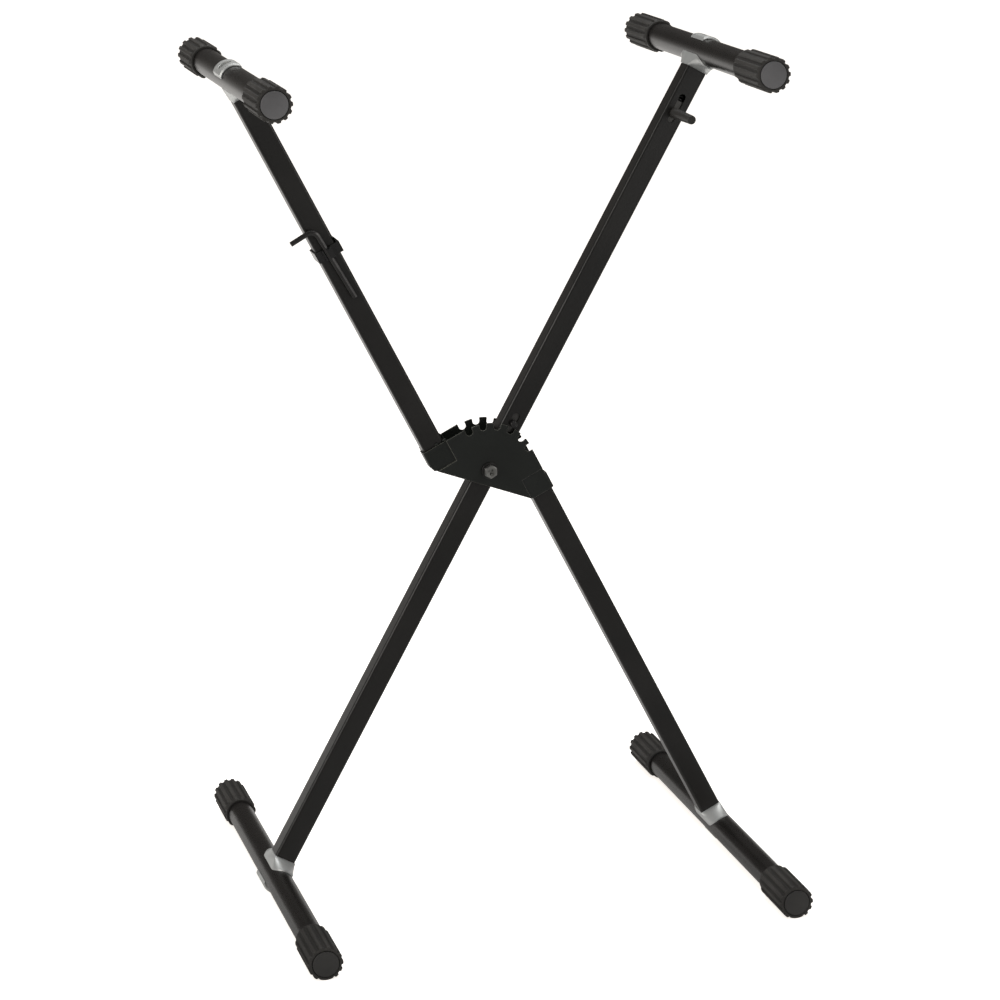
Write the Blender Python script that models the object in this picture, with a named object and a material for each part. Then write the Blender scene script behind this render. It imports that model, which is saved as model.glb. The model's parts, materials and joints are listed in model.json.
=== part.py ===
"""Folding X-shaped keyboard stand: one through leg, one split leg between two notched sector plates,
a spring-return locking pin worked by a pull peg, and four cross tubes with fluted rubber end caps."""

import math

import bmesh
import bpy
from mathutils import Matrix, Vector

# General fits, in metres
GAP = 0.0003
BOLT_HOLE_PLAY = 0.0004
SLIDE_PLAY = 0.0006

# Round cross tubes and their end caps
TUBE_RADIUS = 0.0143
TUBE_WALL = 0.0015
FOOT_SPAN = 0.550
TOP_SPAN = 0.4575
FOOT_CAP_LENGTH = 0.072
TOP_CAP_LENGTH = 0.078
CAP_SKIN_RADIUS = 0.0169
CAP_RIB_RADIUS = 0.0188
CAP_SOLE_RADIUS = 0.0176
CAP_RIB_COUNT = 14
CAP_RIB_FOOT = 0.34
CAP_RIB_TOP = 0.21
CAP_EDGE = 0.0010
PLUG_RADIUS = 0.0138
PLUG_STAND_OUT = 0.0010
PLUG_DISC = 0.0030
PLUG_STEM = 0.0120

# Square legs
LEG_SIDE = 0.024
LEG_WALL = 0.0015
LEG_CORNER = 0.003
PIVOT_TO_TUBE = 0.505
LEG_END_TO_TUBE = 0.0215
REST_ANGLE = math.radians(56.04)

# Notched sector plates
PLATE_THICK = 0.002
PLATE_JOGGLE = 0.002
PLATE_STEP = 0.0022
SEAT_RADIUS = 0.0490
NOTCH_NECK = 0.0035
NOTCH_PLAY = 0.0003
TOOTH_ROUND = 0.0009
PLATE_SHOULDER = 0.0012
PLATE_TRIM = 0.0002
PAD_HEIGHT = 0.0252
PAD_MARGIN = 0.0023
LIP_DEPTH = 0.0130
LIP_LENGTH = 0.0170
LIP_BEND = 0.0032
NOTCHES_FROM_REST = (-55.6, -36.8, -18.4, 0.0, 17.9, 34.1)

# Pivot bolt
PIVOT_SHANK = 0.0040
PIVOT_HEX = 0.013
PIVOT_HEAD = 0.0053
PIVOT_NUT = 0.0068
PIVOT_WASHER_RADIUS = 0.0092
PIVOT_WASHER = 0.0016
SPACER_RADIUS = 0.0110
BUSH_RADIUS = 0.0070

# Locking pin, slider and pull peg
PIN_RADIUS = 0.0037
PIN_STAND_OUT = 0.0022
PIN_LIFT = 0.0075
PIN_TRAVEL_UP = 0.0080
SLIDER_LENGTH = 0.031
PEG_BLOCK_LENGTH = 0.0275
PEG_BELOW_END = 0.0515
PEG_SLOT_ABOVE = 0.0221
PEG_STUD_RADIUS = 0.0032
PEG_LENGTH = 0.0600
PEG_STAND_OFF = 0.0030
PEG_BASE_RADIUS = 0.0058
PEG_TIP_RADIUS = 0.0048
PEG_EDGE = 0.0015
ROD_RADIUS = 0.003
ROD_SOCKET = 0.008

# Cast saddles, clamp plates and their screws
SADDLE_LENGTH = 0.041
SADDLE_SPIGOT = 0.0135
SADDLE_TONGUE = 0.0165
SADDLE_EDGE = 0.0020
SADDLE_HOLLOW = 0.0006
CLAMP_THICK = 0.0027
CLAMP_CHAMFER = 0.0016
SCREW_SHANK = 0.0040
SCREW_HEAD_RADIUS = 0.0075
SCREW_HEAD_DEPTH = 0.0035
SCREW_SINK = 0.0018
SCREW_SOCKET = 0.005
NUT_HEX = 0.013
NUT_HEIGHT = 0.0065

# Hexagon key and its plastic clip on the split leg
KEY_HEX = 0.005
KEY_BEND = 0.0085
KEY_LONG_UP = 0.0299
KEY_LONG_DOWN = 0.0554
KEY_SHORT = 0.0285
KEY_TILT = math.radians(-2.9)
KEY_ASIDE = 0.0013
CLIP_HEIGHT = 0.2975
CLIP_LENGTH = 0.012
CLIP_WALL = 0.0016

# Sizes that follow from the ones above
HALF_LEG = LEG_SIDE / 2
LEG_REACH = PIVOT_TO_TUBE - LEG_END_TO_TUBE
SECTOR_RADIUS = SEAT_RADIUS + NOTCH_NECK
PLATE_EDGE_X = SECTOR_RADIUS - PLATE_TRIM
SPLIT_OFFSET = PLATE_EDGE_X - HALF_LEG
PAD_INNER_X = SPLIT_OFFSET - HALF_LEG - PAD_MARGIN
PLATE_HALF_HEIGHT = SECTOR_RADIUS + PLATE_SHOULDER
PAD_INNER_Z = PLATE_HALF_HEIGHT - PAD_HEIGHT
SPLIT_LEAN = math.atan2(
    PIVOT_TO_TUBE * (1 - math.cos(REST_ANGLE)),
    PIVOT_TO_TUBE * math.sin(REST_ANGLE) + SPLIT_OFFSET,
)
LONG_LEAN = REST_ANGLE - SPLIT_LEAN
FLAT_HALF_ANGLE = (0.5 - CAP_RIB_FOOT) * 2 * math.pi / CAP_RIB_COUNT
FOOT_DROP = CAP_SOLE_RADIUS * math.cos(FLAT_HALF_ANGLE)
PIVOT_HEIGHT = PIVOT_TO_TUBE * math.cos(LONG_LEAN) + FOOT_DROP
NOTCH_ANGLES = [REST_ANGLE + math.radians(turn) for turn in NOTCHES_FROM_REST]
NOTCH_HALF = PIN_RADIUS + NOTCH_PLAY
PAD_FACE = HALF_LEG + GAP
PLATE_FACE = PAD_FACE + PLATE_JOGGLE
PLATE_OUTER = PLATE_FACE + PLATE_THICK
LIP_OUTER_X = PLATE_EDGE_X + GAP + PLATE_THICK
PIN_SEATED = SEAT_RADIUS + 0.0001
PIN_REST = PIN_SEATED + PIN_LIFT
CAVITY_HALF = HALF_LEG - LEG_WALL
PEG_HEIGHT = LEG_REACH - PEG_BELOW_END


def clear_scene():
    for item in list(bpy.data.objects):
        bpy.data.objects.remove(item)
    for group in list(bpy.data.collections):
        bpy.data.collections.remove(group)


clear_scene()
stand = bpy.data.collections.new("keyboard_stand")
bpy.context.scene.collection.children.link(stand)


def finish(name, color, metallic, roughness):
    """A plain Principled material."""
    material = bpy.data.materials.new(name)
    material.use_nodes = True
    shader = material.node_tree.nodes["Principled BSDF"]
    shader.inputs["Base Color"].default_value = (*color, 1.0)
    shader.inputs["Metallic"].default_value = metallic
    shader.inputs["Roughness"].default_value = roughness
    material.diffuse_color = (*color, 1.0)
    return material


POWDER_COAT = finish("black_powder_coat", (0.012, 0.013, 0.012), 0.0, 0.35)
CAST_METAL = finish("light_cast_metal", (0.50, 0.51, 0.50), 0.8, 0.45)
ZINC_STEEL = finish("zinc_plated_steel", (0.42, 0.42, 0.41), 1.0, 0.35)
DARK_STEEL = finish("dark_oxide_steel", (0.06, 0.06, 0.06), 1.0, 0.4)
RUBBER = finish("black_rubber", (0.022, 0.021, 0.020), 0.0, 0.65)
PLASTIC = finish("black_plastic", (0.015, 0.015, 0.015), 0.0, 0.5)
GREY_PLASTIC = finish("dark_grey_plastic", (0.06, 0.06, 0.06), 0.0, 0.5)


def placed(name, mesh, material, parent, matrix=None, smooth=False):
    """Puts a mesh in the scene as one named piece, carried by its body's empty."""
    mesh.materials.clear()
    mesh.materials.append(material)
    if smooth:
        mesh.shade_smooth()
    piece = bpy.data.objects.new(name, mesh)
    stand.objects.link(piece)
    piece.parent = parent
    if matrix is not None:
        piece.matrix_local = matrix
    return piece


def carrier(name, matrix, parent=None):
    """An empty on a joint axis, which carries every piece of one moving body."""
    empty = bpy.data.objects.new(name, None)
    empty.empty_display_size = 0.05
    stand.objects.link(empty)
    empty.parent = parent
    empty.matrix_local = matrix
    return empty


def mesh_from(shape, name="shape"):
    mesh = bpy.data.meshes.new(name)
    bmesh.ops.recalc_face_normals(shape, faces=shape.faces)
    shape.to_mesh(mesh)
    shape.free()
    return mesh


def prism(outline, low, high):
    """A flat outline in X and Z, given the two Y levels between which it is solid."""
    shape = bmesh.new()
    face = shape.faces.new([shape.verts.new((x, low, z)) for x, z in outline])
    grown = bmesh.ops.extrude_face_region(shape, geom=[face])["geom"]
    moved = [item for item in grown if isinstance(item, bmesh.types.BMVert)]
    bmesh.ops.translate(shape, verts=moved, vec=(0, high - low, 0))
    return mesh_from(shape)


def block(x, y, z, edge=0.0, segments=1):
    """A box between three pairs of levels, with its long Z edges rounded where asked."""
    shape = bmesh.new()
    bmesh.ops.create_cube(shape, size=1.0)
    size = Vector((x[1] - x[0], y[1] - y[0], z[1] - z[0]))
    centre = Vector((x[0] + x[1], y[0] + y[1], z[0] + z[1])) / 2
    bmesh.ops.scale(shape, vec=size, verts=shape.verts)
    bmesh.ops.translate(shape, vec=centre, verts=shape.verts)
    if edge:
        upright = [e for e in shape.edges if abs(e.verts[0].co.z - e.verts[1].co.z) > size.z / 2]
        bmesh.ops.bevel(shape, geom=upright, offset=edge, segments=segments, profile=0.5, affect="EDGES")
    return mesh_from(shape)


def turned(profile, segments):
    """A closed profile of (radius, height) pairs turned about Z. Points at radius 0 close on the axis."""
    shape = bmesh.new()
    points = [shape.verts.new((radius, 0, height)) for radius, height in profile]
    ends = zip(points, points[1:] + points[:1])
    edges = [shape.edges.new(pair) for pair in ends if pair[0].co.x > 0 or pair[1].co.x > 0]
    bmesh.ops.spin(
        shape,
        geom=points + edges,
        axis=(0, 0, 1),
        cent=(0, 0, 0),
        angle=2 * math.pi,
        steps=segments,
        use_merge=True,
    )
    bmesh.ops.remove_doubles(shape, verts=shape.verts, dist=1e-6)
    return mesh_from(shape)


def hexagon(flats, low, high):
    """A hexagonal bar along Z, with two of its flats facing along Y."""
    shape = bmesh.new()
    bmesh.ops.create_cone(
        shape,
        cap_ends=True,
        segments=6,
        radius1=flats / math.sqrt(3),
        radius2=flats / math.sqrt(3),
        depth=high - low,
        matrix=Matrix.Translation((0, 0, (low + high) / 2)),
    )
    return mesh_from(shape)


def moved(mesh, matrix):
    mesh.transform(matrix)
    return mesh


ALONG_Y = Matrix.Rotation(math.radians(90), 4, "X")


def upright_prism(outline, low, high):
    """A flat outline in X and Y, given the two Z levels between which it is solid."""
    return moved(prism([(x, -y) for x, y in outline], low, high), ALONG_Y)


def combined(base, steps):
    """Cuts, joins or intersects a mesh with others in turn, and returns the finished mesh."""
    holder = bpy.data.objects.new("holder", base)
    bpy.context.scene.collection.objects.link(holder)
    tools = []
    for operation, mesh in steps:
        tool = bpy.data.objects.new("tool", mesh)
        bpy.context.scene.collection.objects.link(tool)
        tools.append(tool)
        step = holder.modifiers.new("step", "BOOLEAN")
        step.operation = operation
        step.solver = "EXACT"
        step.object = tool
    bpy.context.view_layer.update()
    graph = bpy.context.evaluated_depsgraph_get()
    result = bpy.data.meshes.new_from_object(holder.evaluated_get(graph))
    for item in tools + [holder]:
        bpy.data.objects.remove(item)
    return result


def mirrored(mesh):
    """The same solid seen from behind: Y changes sign."""
    copy = mesh.copy()
    copy.transform(Matrix.Scale(-1, 4, (0, 1, 0)))
    copy.flip_normals()
    return copy


def cylinder(radius, low, high, segments=24):
    return turned([(0, low), (radius, low), (radius, high), (0, high)], segments)


# The two legs turn about one axis: each carrier stands at the pivot with Z along its leg
pivot = Vector((0, 0, PIVOT_HEIGHT))
leg_a = carrier("leg_a_axis", Matrix.Translation(pivot) @ Matrix.Rotation(LONG_LEAN, 4, "Y"))
leg_b = carrier("leg_b_axis", Matrix.Translation(pivot) @ Matrix.Rotation(-SPLIT_LEAN, 4, "Y"))
lock = carrier("lock_axis", Matrix.Translation((0, 0, PIN_REST)), leg_a)
key_matrix = Matrix.Translation((-SPLIT_OFFSET - KEY_ASIDE, 0, CLIP_HEIGHT)) @ Matrix.Rotation(KEY_TILT, 4, "Y")
key_frame = carrier("key_axis", key_matrix, leg_b)


def slot(width, low, high, y_low, y_high):
    """A round-ended slot cutter along Z that runs through a leg wall."""
    radius = width / 2
    outline = []
    for centre, start in ((high - radius, 0), (low + radius, 180)):
        for step in range(9):
            turn = math.radians(start + step * 22.5)
            outline.append((radius * math.cos(turn), centre + radius * math.sin(turn)))
    return prism(outline, y_low, y_high)


def square_tube(low, high):
    outer = block((-HALF_LEG, HALF_LEG), (-HALF_LEG, HALF_LEG), (low, high), LEG_CORNER, 4)
    past = 0.001
    inner = block(
        (-CAVITY_HALF, CAVITY_HALF),
        (-CAVITY_HALF, CAVITY_HALF),
        (low - past, high + past),
        LEG_CORNER - LEG_WALL,
        2,
    )
    return combined(outer, [("DIFFERENCE", inner)])


# Through leg: one square tube with the pivot hole, the pin slot right through and the peg slot in front
bolt_hole = moved(cylinder(PIVOT_SHANK + BOLT_HOLE_PLAY, -0.02, 0.02), ALONG_Y)
pin_slot = slot(
    2 * (PIN_RADIUS + BOLT_HOLE_PLAY),
    PIN_SEATED - PIN_RADIUS - BOLT_HOLE_PLAY,
    PIN_REST + PIN_TRAVEL_UP + PIN_RADIUS + BOLT_HOLE_PLAY,
    -0.02,
    0.02,
)
peg_slot = slot(
    2 * (PEG_STUD_RADIUS + BOLT_HOLE_PLAY),
    PEG_HEIGHT - PIN_LIFT - PEG_STUD_RADIUS - BOLT_HOLE_PLAY,
    PEG_HEIGHT + PEG_SLOT_ABOVE,
    -0.02,
    0.0,
)
through_leg = combined(
    square_tube(-LEG_REACH, LEG_REACH),
    [("DIFFERENCE", bolt_hole), ("DIFFERENCE", pin_slot), ("DIFFERENCE", peg_slot)],
)
placed("leg_a_tube", through_leg, POWDER_COAT, leg_a)

# Split leg: two shorter tubes of the same section, one each side of the pivot
split_half = square_tube(PAD_INNER_Z + GAP, LEG_REACH)
placed("leg_b_upper_tube", split_half, POWDER_COAT, leg_b, Matrix.Translation((-SPLIT_OFFSET, 0, 0)))
half_turn = Matrix.Rotation(math.pi, 4, "Y")
placed(
    "leg_b_lower_tube",
    split_half,
    POWDER_COAT,
    leg_b,
    Matrix.Translation((SPLIT_OFFSET, 0, 0)) @ half_turn,
)


def notch_outline(angle, first, last):
    """One round-bottomed notch, its two sides starting and ending at the given distances from the pivot."""
    out = Vector((math.sin(angle), math.cos(angle)))
    side = Vector((math.cos(angle), -math.sin(angle)))
    rim = math.sqrt(SECTOR_RADIUS**2 - (NOTCH_HALF + TOOTH_ROUND) ** 2)
    points = []
    for hand, straight_to in ((-1, first), (1, last)):
        if straight_to:
            corner = [out * straight_to + side * hand * NOTCH_HALF]
        else:
            centre = out * (rim - TOOTH_ROUND) + side * hand * (NOTCH_HALF + TOOTH_ROUND)
            turns = [math.radians(45 * step) for step in range(3)]
            corner = [
                centre + TOOTH_ROUND * (out * math.cos(t) - side * hand * math.sin(t)) for t in turns
            ]
        if hand < 0:
            points += corner
            for step in range(9):
                turn = math.pi * step / 8
                seat = out * (SEAT_RADIUS - NOTCH_HALF * math.sin(turn))
                points.append(seat - side * NOTCH_HALF * math.cos(turn))
        else:
            points += reversed(corner)
    return [tuple(point) for point in points]


def sector_outline(with_lips):
    """The plate's edge, clockwise from its top left corner, with a notch at each locking angle."""
    trimmed_later = 0.001
    edge_x = LIP_OUTER_X + trimmed_later if with_lips else PLATE_EDGE_X
    outline = [(-edge_x, PLATE_HALF_HEIGHT)]
    last_notch = len(NOTCH_ANGLES) - 1
    half_mouth = math.asin((NOTCH_HALF + TOOTH_ROUND) / SECTOR_RADIUS)
    for number, angle in enumerate(NOTCH_ANGLES):
        first = PLATE_HALF_HEIGHT if number == 0 else None
        last = PLATE_EDGE_X if number == last_notch else None
        outline += notch_outline(angle, first, last)
        if number < last_notch:
            start, end = angle + half_mouth, NOTCH_ANGLES[number + 1] - half_mouth
            for share in (0.33, 0.67):
                turn = start + (end - start) * share
                outline.append((SECTOR_RADIUS * math.sin(turn), SECTOR_RADIUS * math.cos(turn)))
    lip_end = PLATE_HALF_HEIGHT - LIP_LENGTH
    outline += [
        (PLATE_EDGE_X, -lip_end + 0.002),
        (edge_x, -lip_end),
        (edge_x, -PLATE_HALF_HEIGHT),
        (PAD_INNER_X + 0.0025, -PLATE_HALF_HEIGHT),
        (PAD_INNER_X, -PLATE_HALF_HEIGHT + 0.0012),
        (-PLATE_EDGE_X + 0.0030, PAD_INNER_Z - 0.0003),
        (-PLATE_EDGE_X + 0.0015, PAD_INNER_Z + 0.0010),
        (-edge_x, lip_end),
    ]
    return outline


def corner_recess(with_lips):
    """What is pressed back at one corner: down to the split leg's face and round the lip's bend."""
    far = 0.08
    pad_outer = -PAD_FACE - PLATE_THICK
    if not with_lips:
        return block((-far, -PAD_INNER_X), (-far, pad_outer), (PAD_INNER_Z, far))
    bend_x, bend_y = -LIP_OUTER_X + LIP_BEND, pad_outer + LIP_BEND
    outline = [(-far, far), (-far, -far), (-PAD_INNER_X, -far), (-PAD_INNER_X, pad_outer)]
    for step in range(5):
        turn = math.radians(270 - 22.5 * step)
        outline.append((bend_x + LIP_BEND * math.cos(turn), bend_y + LIP_BEND * math.sin(turn)))
    outline.append((-LIP_OUTER_X, far))
    return upright_prism(outline, PAD_INNER_Z, far)


def sector_plate(with_lips):
    """A pressed plate, raised over the through leg and stepped down at two corners, with or without lips."""
    far = 0.08
    pad_x, pad_z = PAD_INNER_X - PLATE_STEP, PAD_INNER_Z - PLATE_STEP
    over_through_leg = [
        (-far, -far),
        (-far, pad_z),
        (-pad_x, pad_z),
        (-pad_x, far),
        (far, far),
        (far, -pad_z),
        (pad_x, -pad_z),
        (pad_x, -far),
    ]
    lip_inner = PLATE_EDGE_X + GAP
    deepest = -PAD_FACE + LIP_DEPTH if with_lips else -PAD_FACE + PLATE_THICK
    recess = corner_recess(with_lips)
    return combined(
        prism(sector_outline(with_lips), -PLATE_OUTER, deepest),
        [
            ("DIFFERENCE", prism(over_through_leg, -PLATE_FACE, far)),
            ("DIFFERENCE", block((-lip_inner, lip_inner), (-PAD_FACE, far), (-far, far))),
            ("DIFFERENCE", recess),
            ("DIFFERENCE", moved(recess.copy(), half_turn)),
            ("DIFFERENCE", moved(cylinder(PIVOT_SHANK + BOLT_HOLE_PLAY, 0.0, 0.03), ALONG_Y)),
        ],
    )


placed("sector_plate_front", sector_plate(True), POWDER_COAT, leg_b)
placed("sector_plate_rear", mirrored(sector_plate(False)), POWDER_COAT, leg_b)

# Pivot: bolt, nut, washers outside the plates, spacers inside them and a bush in the through leg
under_head = PLATE_OUTER + GAP + PIVOT_WASHER + GAP
shank_end = under_head + PIVOT_NUT + 0.002
pivot_bolt = combined(
    hexagon(PIVOT_HEX, under_head, under_head + PIVOT_HEAD),
    [
        ("INTERSECT", turned([
            (0, under_head - 0.001),
            (0.0080, under_head - 0.001),
            (0.0080, under_head + PIVOT_HEAD - 0.0008),
            (0.0060, under_head + PIVOT_HEAD + 0.0002),
            (0, under_head + PIVOT_HEAD + 0.0002),
        ], 24)),
        ("UNION", cylinder(PIVOT_SHANK, -shank_end, under_head + 0.001)),
    ],
)
placed("pivot_bolt", moved(pivot_bolt, ALONG_Y), DARK_STEEL, leg_a)


def ring(inner, outer, low, high, segments=24, edge=0.0):
    profile = [
        (inner, low),
        (outer - edge, low),
        (outer, low + edge),
        (outer, high - edge),
        (outer - edge, high),
        (inner, high),
    ]
    return turned(profile if edge else [profile[0], (outer, low), (outer, high), profile[5]], segments)


pivot_nut = combined(
    hexagon(PIVOT_HEX, -under_head - PIVOT_NUT, -under_head),
    [("DIFFERENCE", cylinder(PIVOT_SHANK + GAP, -under_head - PIVOT_NUT - 0.001, -under_head + 0.001))],
)
placed("pivot_nut", moved(pivot_nut, ALONG_Y), DARK_STEEL, leg_a)
bore = PIVOT_SHANK + BOLT_HOLE_PLAY
washer = moved(
    ring(bore, PIVOT_WASHER_RADIUS, PLATE_OUTER + GAP, PLATE_OUTER + GAP + PIVOT_WASHER, 28), ALONG_Y
)
placed("pivot_washer_front", washer, DARK_STEEL, leg_a)
placed("pivot_washer_rear", mirrored(washer), DARK_STEEL, leg_a)
spacer = moved(ring(bore, SPACER_RADIUS, HALF_LEG + GAP, PLATE_FACE - GAP, 28), ALONG_Y)
placed("pivot_spacer_front", spacer, PLASTIC, leg_a)
placed("pivot_spacer_rear", mirrored(spacer), PLASTIC, leg_a)
bush_half = CAVITY_HALF - GAP
placed("pivot_bush", moved(ring(bore, BUSH_RADIUS, -bush_half, bush_half), ALONG_Y), ZINC_STEEL, leg_a)

# Lock: the carrier's origin is the pin's axis, drawn just clear of the notches
pin_half = PLATE_OUTER + PIN_STAND_OUT
pin_edge = 0.0012
pin = turned(
    [
        (0, -pin_half),
        (PIN_RADIUS - pin_edge, -pin_half),
        (PIN_RADIUS, -pin_half + pin_edge),
        (PIN_RADIUS, pin_half - pin_edge),
        (PIN_RADIUS - pin_edge, pin_half),
        (0, pin_half),
    ],
    24,
)
placed("lock_pin", moved(pin, ALONG_Y), DARK_STEEL, lock)
slide_half = CAVITY_HALF - SLIDE_PLAY
slider_low = -0.0105
slider_high = slider_low + SLIDER_LENGTH
slider = combined(
    block((-slide_half, slide_half), (-slide_half, slide_half), (slider_low, slider_high), 0.002, 2),
    [
        ("DIFFERENCE", moved(cylinder(PIN_RADIUS + GAP, -0.02, 0.02), ALONG_Y)),
        ("DIFFERENCE", cylinder(ROD_RADIUS + GAP, slider_high - ROD_SOCKET, slider_high + 0.001)),
    ],
)
placed("lock_slider", slider, ZINC_STEEL, lock)
peg_z = PEG_HEIGHT - PIN_REST
peg_block_low = peg_z - PEG_BLOCK_LENGTH / 2
peg_block = combined(
    block(
        (-slide_half, slide_half),
        (-slide_half, slide_half),
        (peg_block_low, peg_block_low + PEG_BLOCK_LENGTH),
        0.002,
        2,
    ),
    [
        ("DIFFERENCE", cylinder(ROD_RADIUS + GAP, peg_block_low - 0.001, peg_block_low + ROD_SOCKET)),
        ("DIFFERENCE", moved(
            moved(cylinder(PEG_STUD_RADIUS + GAP, 0.002, 0.02), ALONG_Y), Matrix.Translation((0, 0, peg_z))
        )),
    ],
)
placed("peg_block", peg_block, ZINC_STEEL, lock)
rod = cylinder(ROD_RADIUS, slider_high - ROD_SOCKET + GAP, peg_block_low + ROD_SOCKET - GAP, 16)
placed("lock_rod", rod, ZINC_STEEL, lock)
at_peg = Matrix.Translation((0, 0, peg_z))
peg_root = HALF_LEG + PEG_STAND_OFF
peg_tip = HALF_LEG + PEG_LENGTH
stud_tip = peg_tip - 0.006
peg_stud = moved(cylinder(PEG_STUD_RADIUS, 0.002 + GAP, stud_tip, 20), ALONG_Y)
placed("peg_stud", peg_stud, ZINC_STEEL, lock, at_peg)
grip = turned(
    [
        (PEG_STUD_RADIUS + GAP, peg_root),
        (PEG_BASE_RADIUS - PEG_EDGE, peg_root),
        (PEG_BASE_RADIUS, peg_root + PEG_EDGE),
        (PEG_TIP_RADIUS, peg_tip - PEG_EDGE),
        (PEG_TIP_RADIUS - 0.3 * PEG_EDGE, peg_tip - 0.3 * PEG_EDGE),
        (PEG_TIP_RADIUS - PEG_EDGE, peg_tip),
        (0, peg_tip),
        (0, stud_tip + GAP),
        (PEG_STUD_RADIUS + GAP, stud_tip + GAP),
    ],
    24,
)
placed("peg_grip", moved(grip, ALONG_Y), PLASTIC, lock, at_peg)


# Each cross tube joint is drawn with the tube's axis on Y and the leg coming from below along Z
def cross_tube(span):
    half = span / 2 - PLUG_DISC - GAP
    tube = ring(TUBE_RADIUS - TUBE_WALL, TUBE_RADIUS, -half, half, 32)
    return combined(
        moved(tube, ALONG_Y),
        [
            ("DIFFERENCE", cylinder(SCREW_SHANK + BOLT_HOLE_PLAY, -0.02, 0.0)),
            ("DIFFERENCE", cylinder(SCREW_HEAD_RADIUS + GAP, 0.0, 0.02)),
        ],
    )


def saddle_body():
    """Block under the leg end whose front and rear slope down to a rounded tongue lying along the tube."""
    half_x = HALF_LEG + GAP
    half_y = SADDLE_LENGTH / 2
    top = -LEG_END_TO_TUBE + GAP
    shape = bmesh.new()
    sections = []
    steps = 16
    for step in range(steps + 1):
        turn = math.pi * step / steps
        x = -half_x * math.cos(turn)
        reach = half_y + SADDLE_TONGUE * math.sin(turn)
        edge_level = -math.sqrt((TUBE_RADIUS + SADDLE_EDGE) ** 2 - x**2)
        middle_y = (half_x + reach) / 2
        middle_level = (top + edge_level) / 2 + SADDLE_HOLLOW
        front = [(-reach, 0.0), (-reach, edge_level), (-middle_y, middle_level), (-half_x, top)]
        outline = front + [(-y, level) for y, level in reversed(front)]
        sections.append([shape.verts.new((x, y, level)) for y, level in outline])
    for first, second in zip(sections, sections[1:]):
        for n, corner in enumerate(first):
            after = (n + 1) % len(first)
            shape.faces.new((corner, first[after], second[after], second[n]))
    shape.faces.new(sections[0])
    shape.faces.new(sections[-1])
    return mesh_from(shape)


def saddle():
    """Cast block that plugs into the leg end and cradles the tube over a longer seat than the leg is deep."""
    top = -LEG_END_TO_TUBE + GAP
    spigot_half = CAVITY_HALF - GAP
    sides = (-spigot_half, spigot_half)
    spigot = block(sides, sides, (top - SADDLE_SPIGOT, top + 0.001), 0.0018, 2)
    beyond = SADDLE_LENGTH / 2 + SADDLE_TONGUE + 0.005
    seat = moved(cylinder(TUBE_RADIUS + GAP, -beyond, beyond, 48), ALONG_Y)
    return combined(
        saddle_body(),
        [
            ("UNION", spigot),
            ("DIFFERENCE", seat),
            ("DIFFERENCE", cylinder(SCREW_SHANK + BOLT_HOLE_PLAY, -0.05, 0.0)),
        ],
    )


def clamp_plate():
    """A curved plate on the far side of the tube, with chamfered ends and a sink for the screw head."""
    inner, outer = TUBE_RADIUS + GAP, TUBE_RADIUS + GAP + CLAMP_THICK
    half_width = HALF_LEG + GAP
    steps = 14
    outline = []
    for radius, order in ((outer, 1), (inner, -1)):
        reach = math.asin(half_width / radius)
        turns = [reach * (2 * n / steps - 1) for n in range(steps + 1)]
        outline += [(radius * math.sin(t), radius * math.cos(t)) for t in turns[::order]]
    head_top = outer - SCREW_SINK
    sink = turned(
        [
            (0, 0.005),
            (SCREW_SHANK + GAP, head_top - SCREW_HEAD_DEPTH - GAP),
            (SCREW_HEAD_RADIUS + GAP, head_top - GAP),
            (SCREW_HEAD_RADIUS + GAP, outer + 0.002),
            (0, outer + 0.002),
        ],
        24,
    )
    half = SADDLE_LENGTH / 2
    rim = outer - CLAMP_CHAMFER
    chamfered = turned(
        [
            (0, -half),
            (rim, -half),
            (outer + 0.0001, -half + CLAMP_CHAMFER),
            (outer + 0.0001, half - CLAMP_CHAMFER),
            (rim, half),
            (0, half),
        ],
        96,
    )
    return combined(
        prism(outline, -half - 0.001, half + 0.001),
        [("INTERSECT", moved(chamfered, ALONG_Y)), ("DIFFERENCE", sink)],
    )


def tube_screw():
    head_top = TUBE_RADIUS + GAP + CLAMP_THICK - SCREW_SINK
    body = turned(
        [
            (0, nut_low - 0.0015),
            (SCREW_SHANK, nut_low - 0.0015),
            (SCREW_SHANK, head_top - SCREW_HEAD_DEPTH),
            (SCREW_HEAD_RADIUS, head_top - 0.0004),
            (SCREW_HEAD_RADIUS - 0.0002, head_top),
            (0, head_top),
        ],
        24,
    )
    return combined(body, [("DIFFERENCE", hexagon(SCREW_SOCKET, head_top - 0.0028, head_top + 0.001))])


nut_high = -LEG_END_TO_TUBE + GAP - SADDLE_SPIGOT - GAP
nut_low = nut_high - NUT_HEIGHT
nut = combined(
    hexagon(NUT_HEX, nut_low, nut_high),
    [("DIFFERENCE", cylinder(SCREW_SHANK + GAP, nut_low - 0.001, nut_high + 0.001))],
)


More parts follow.
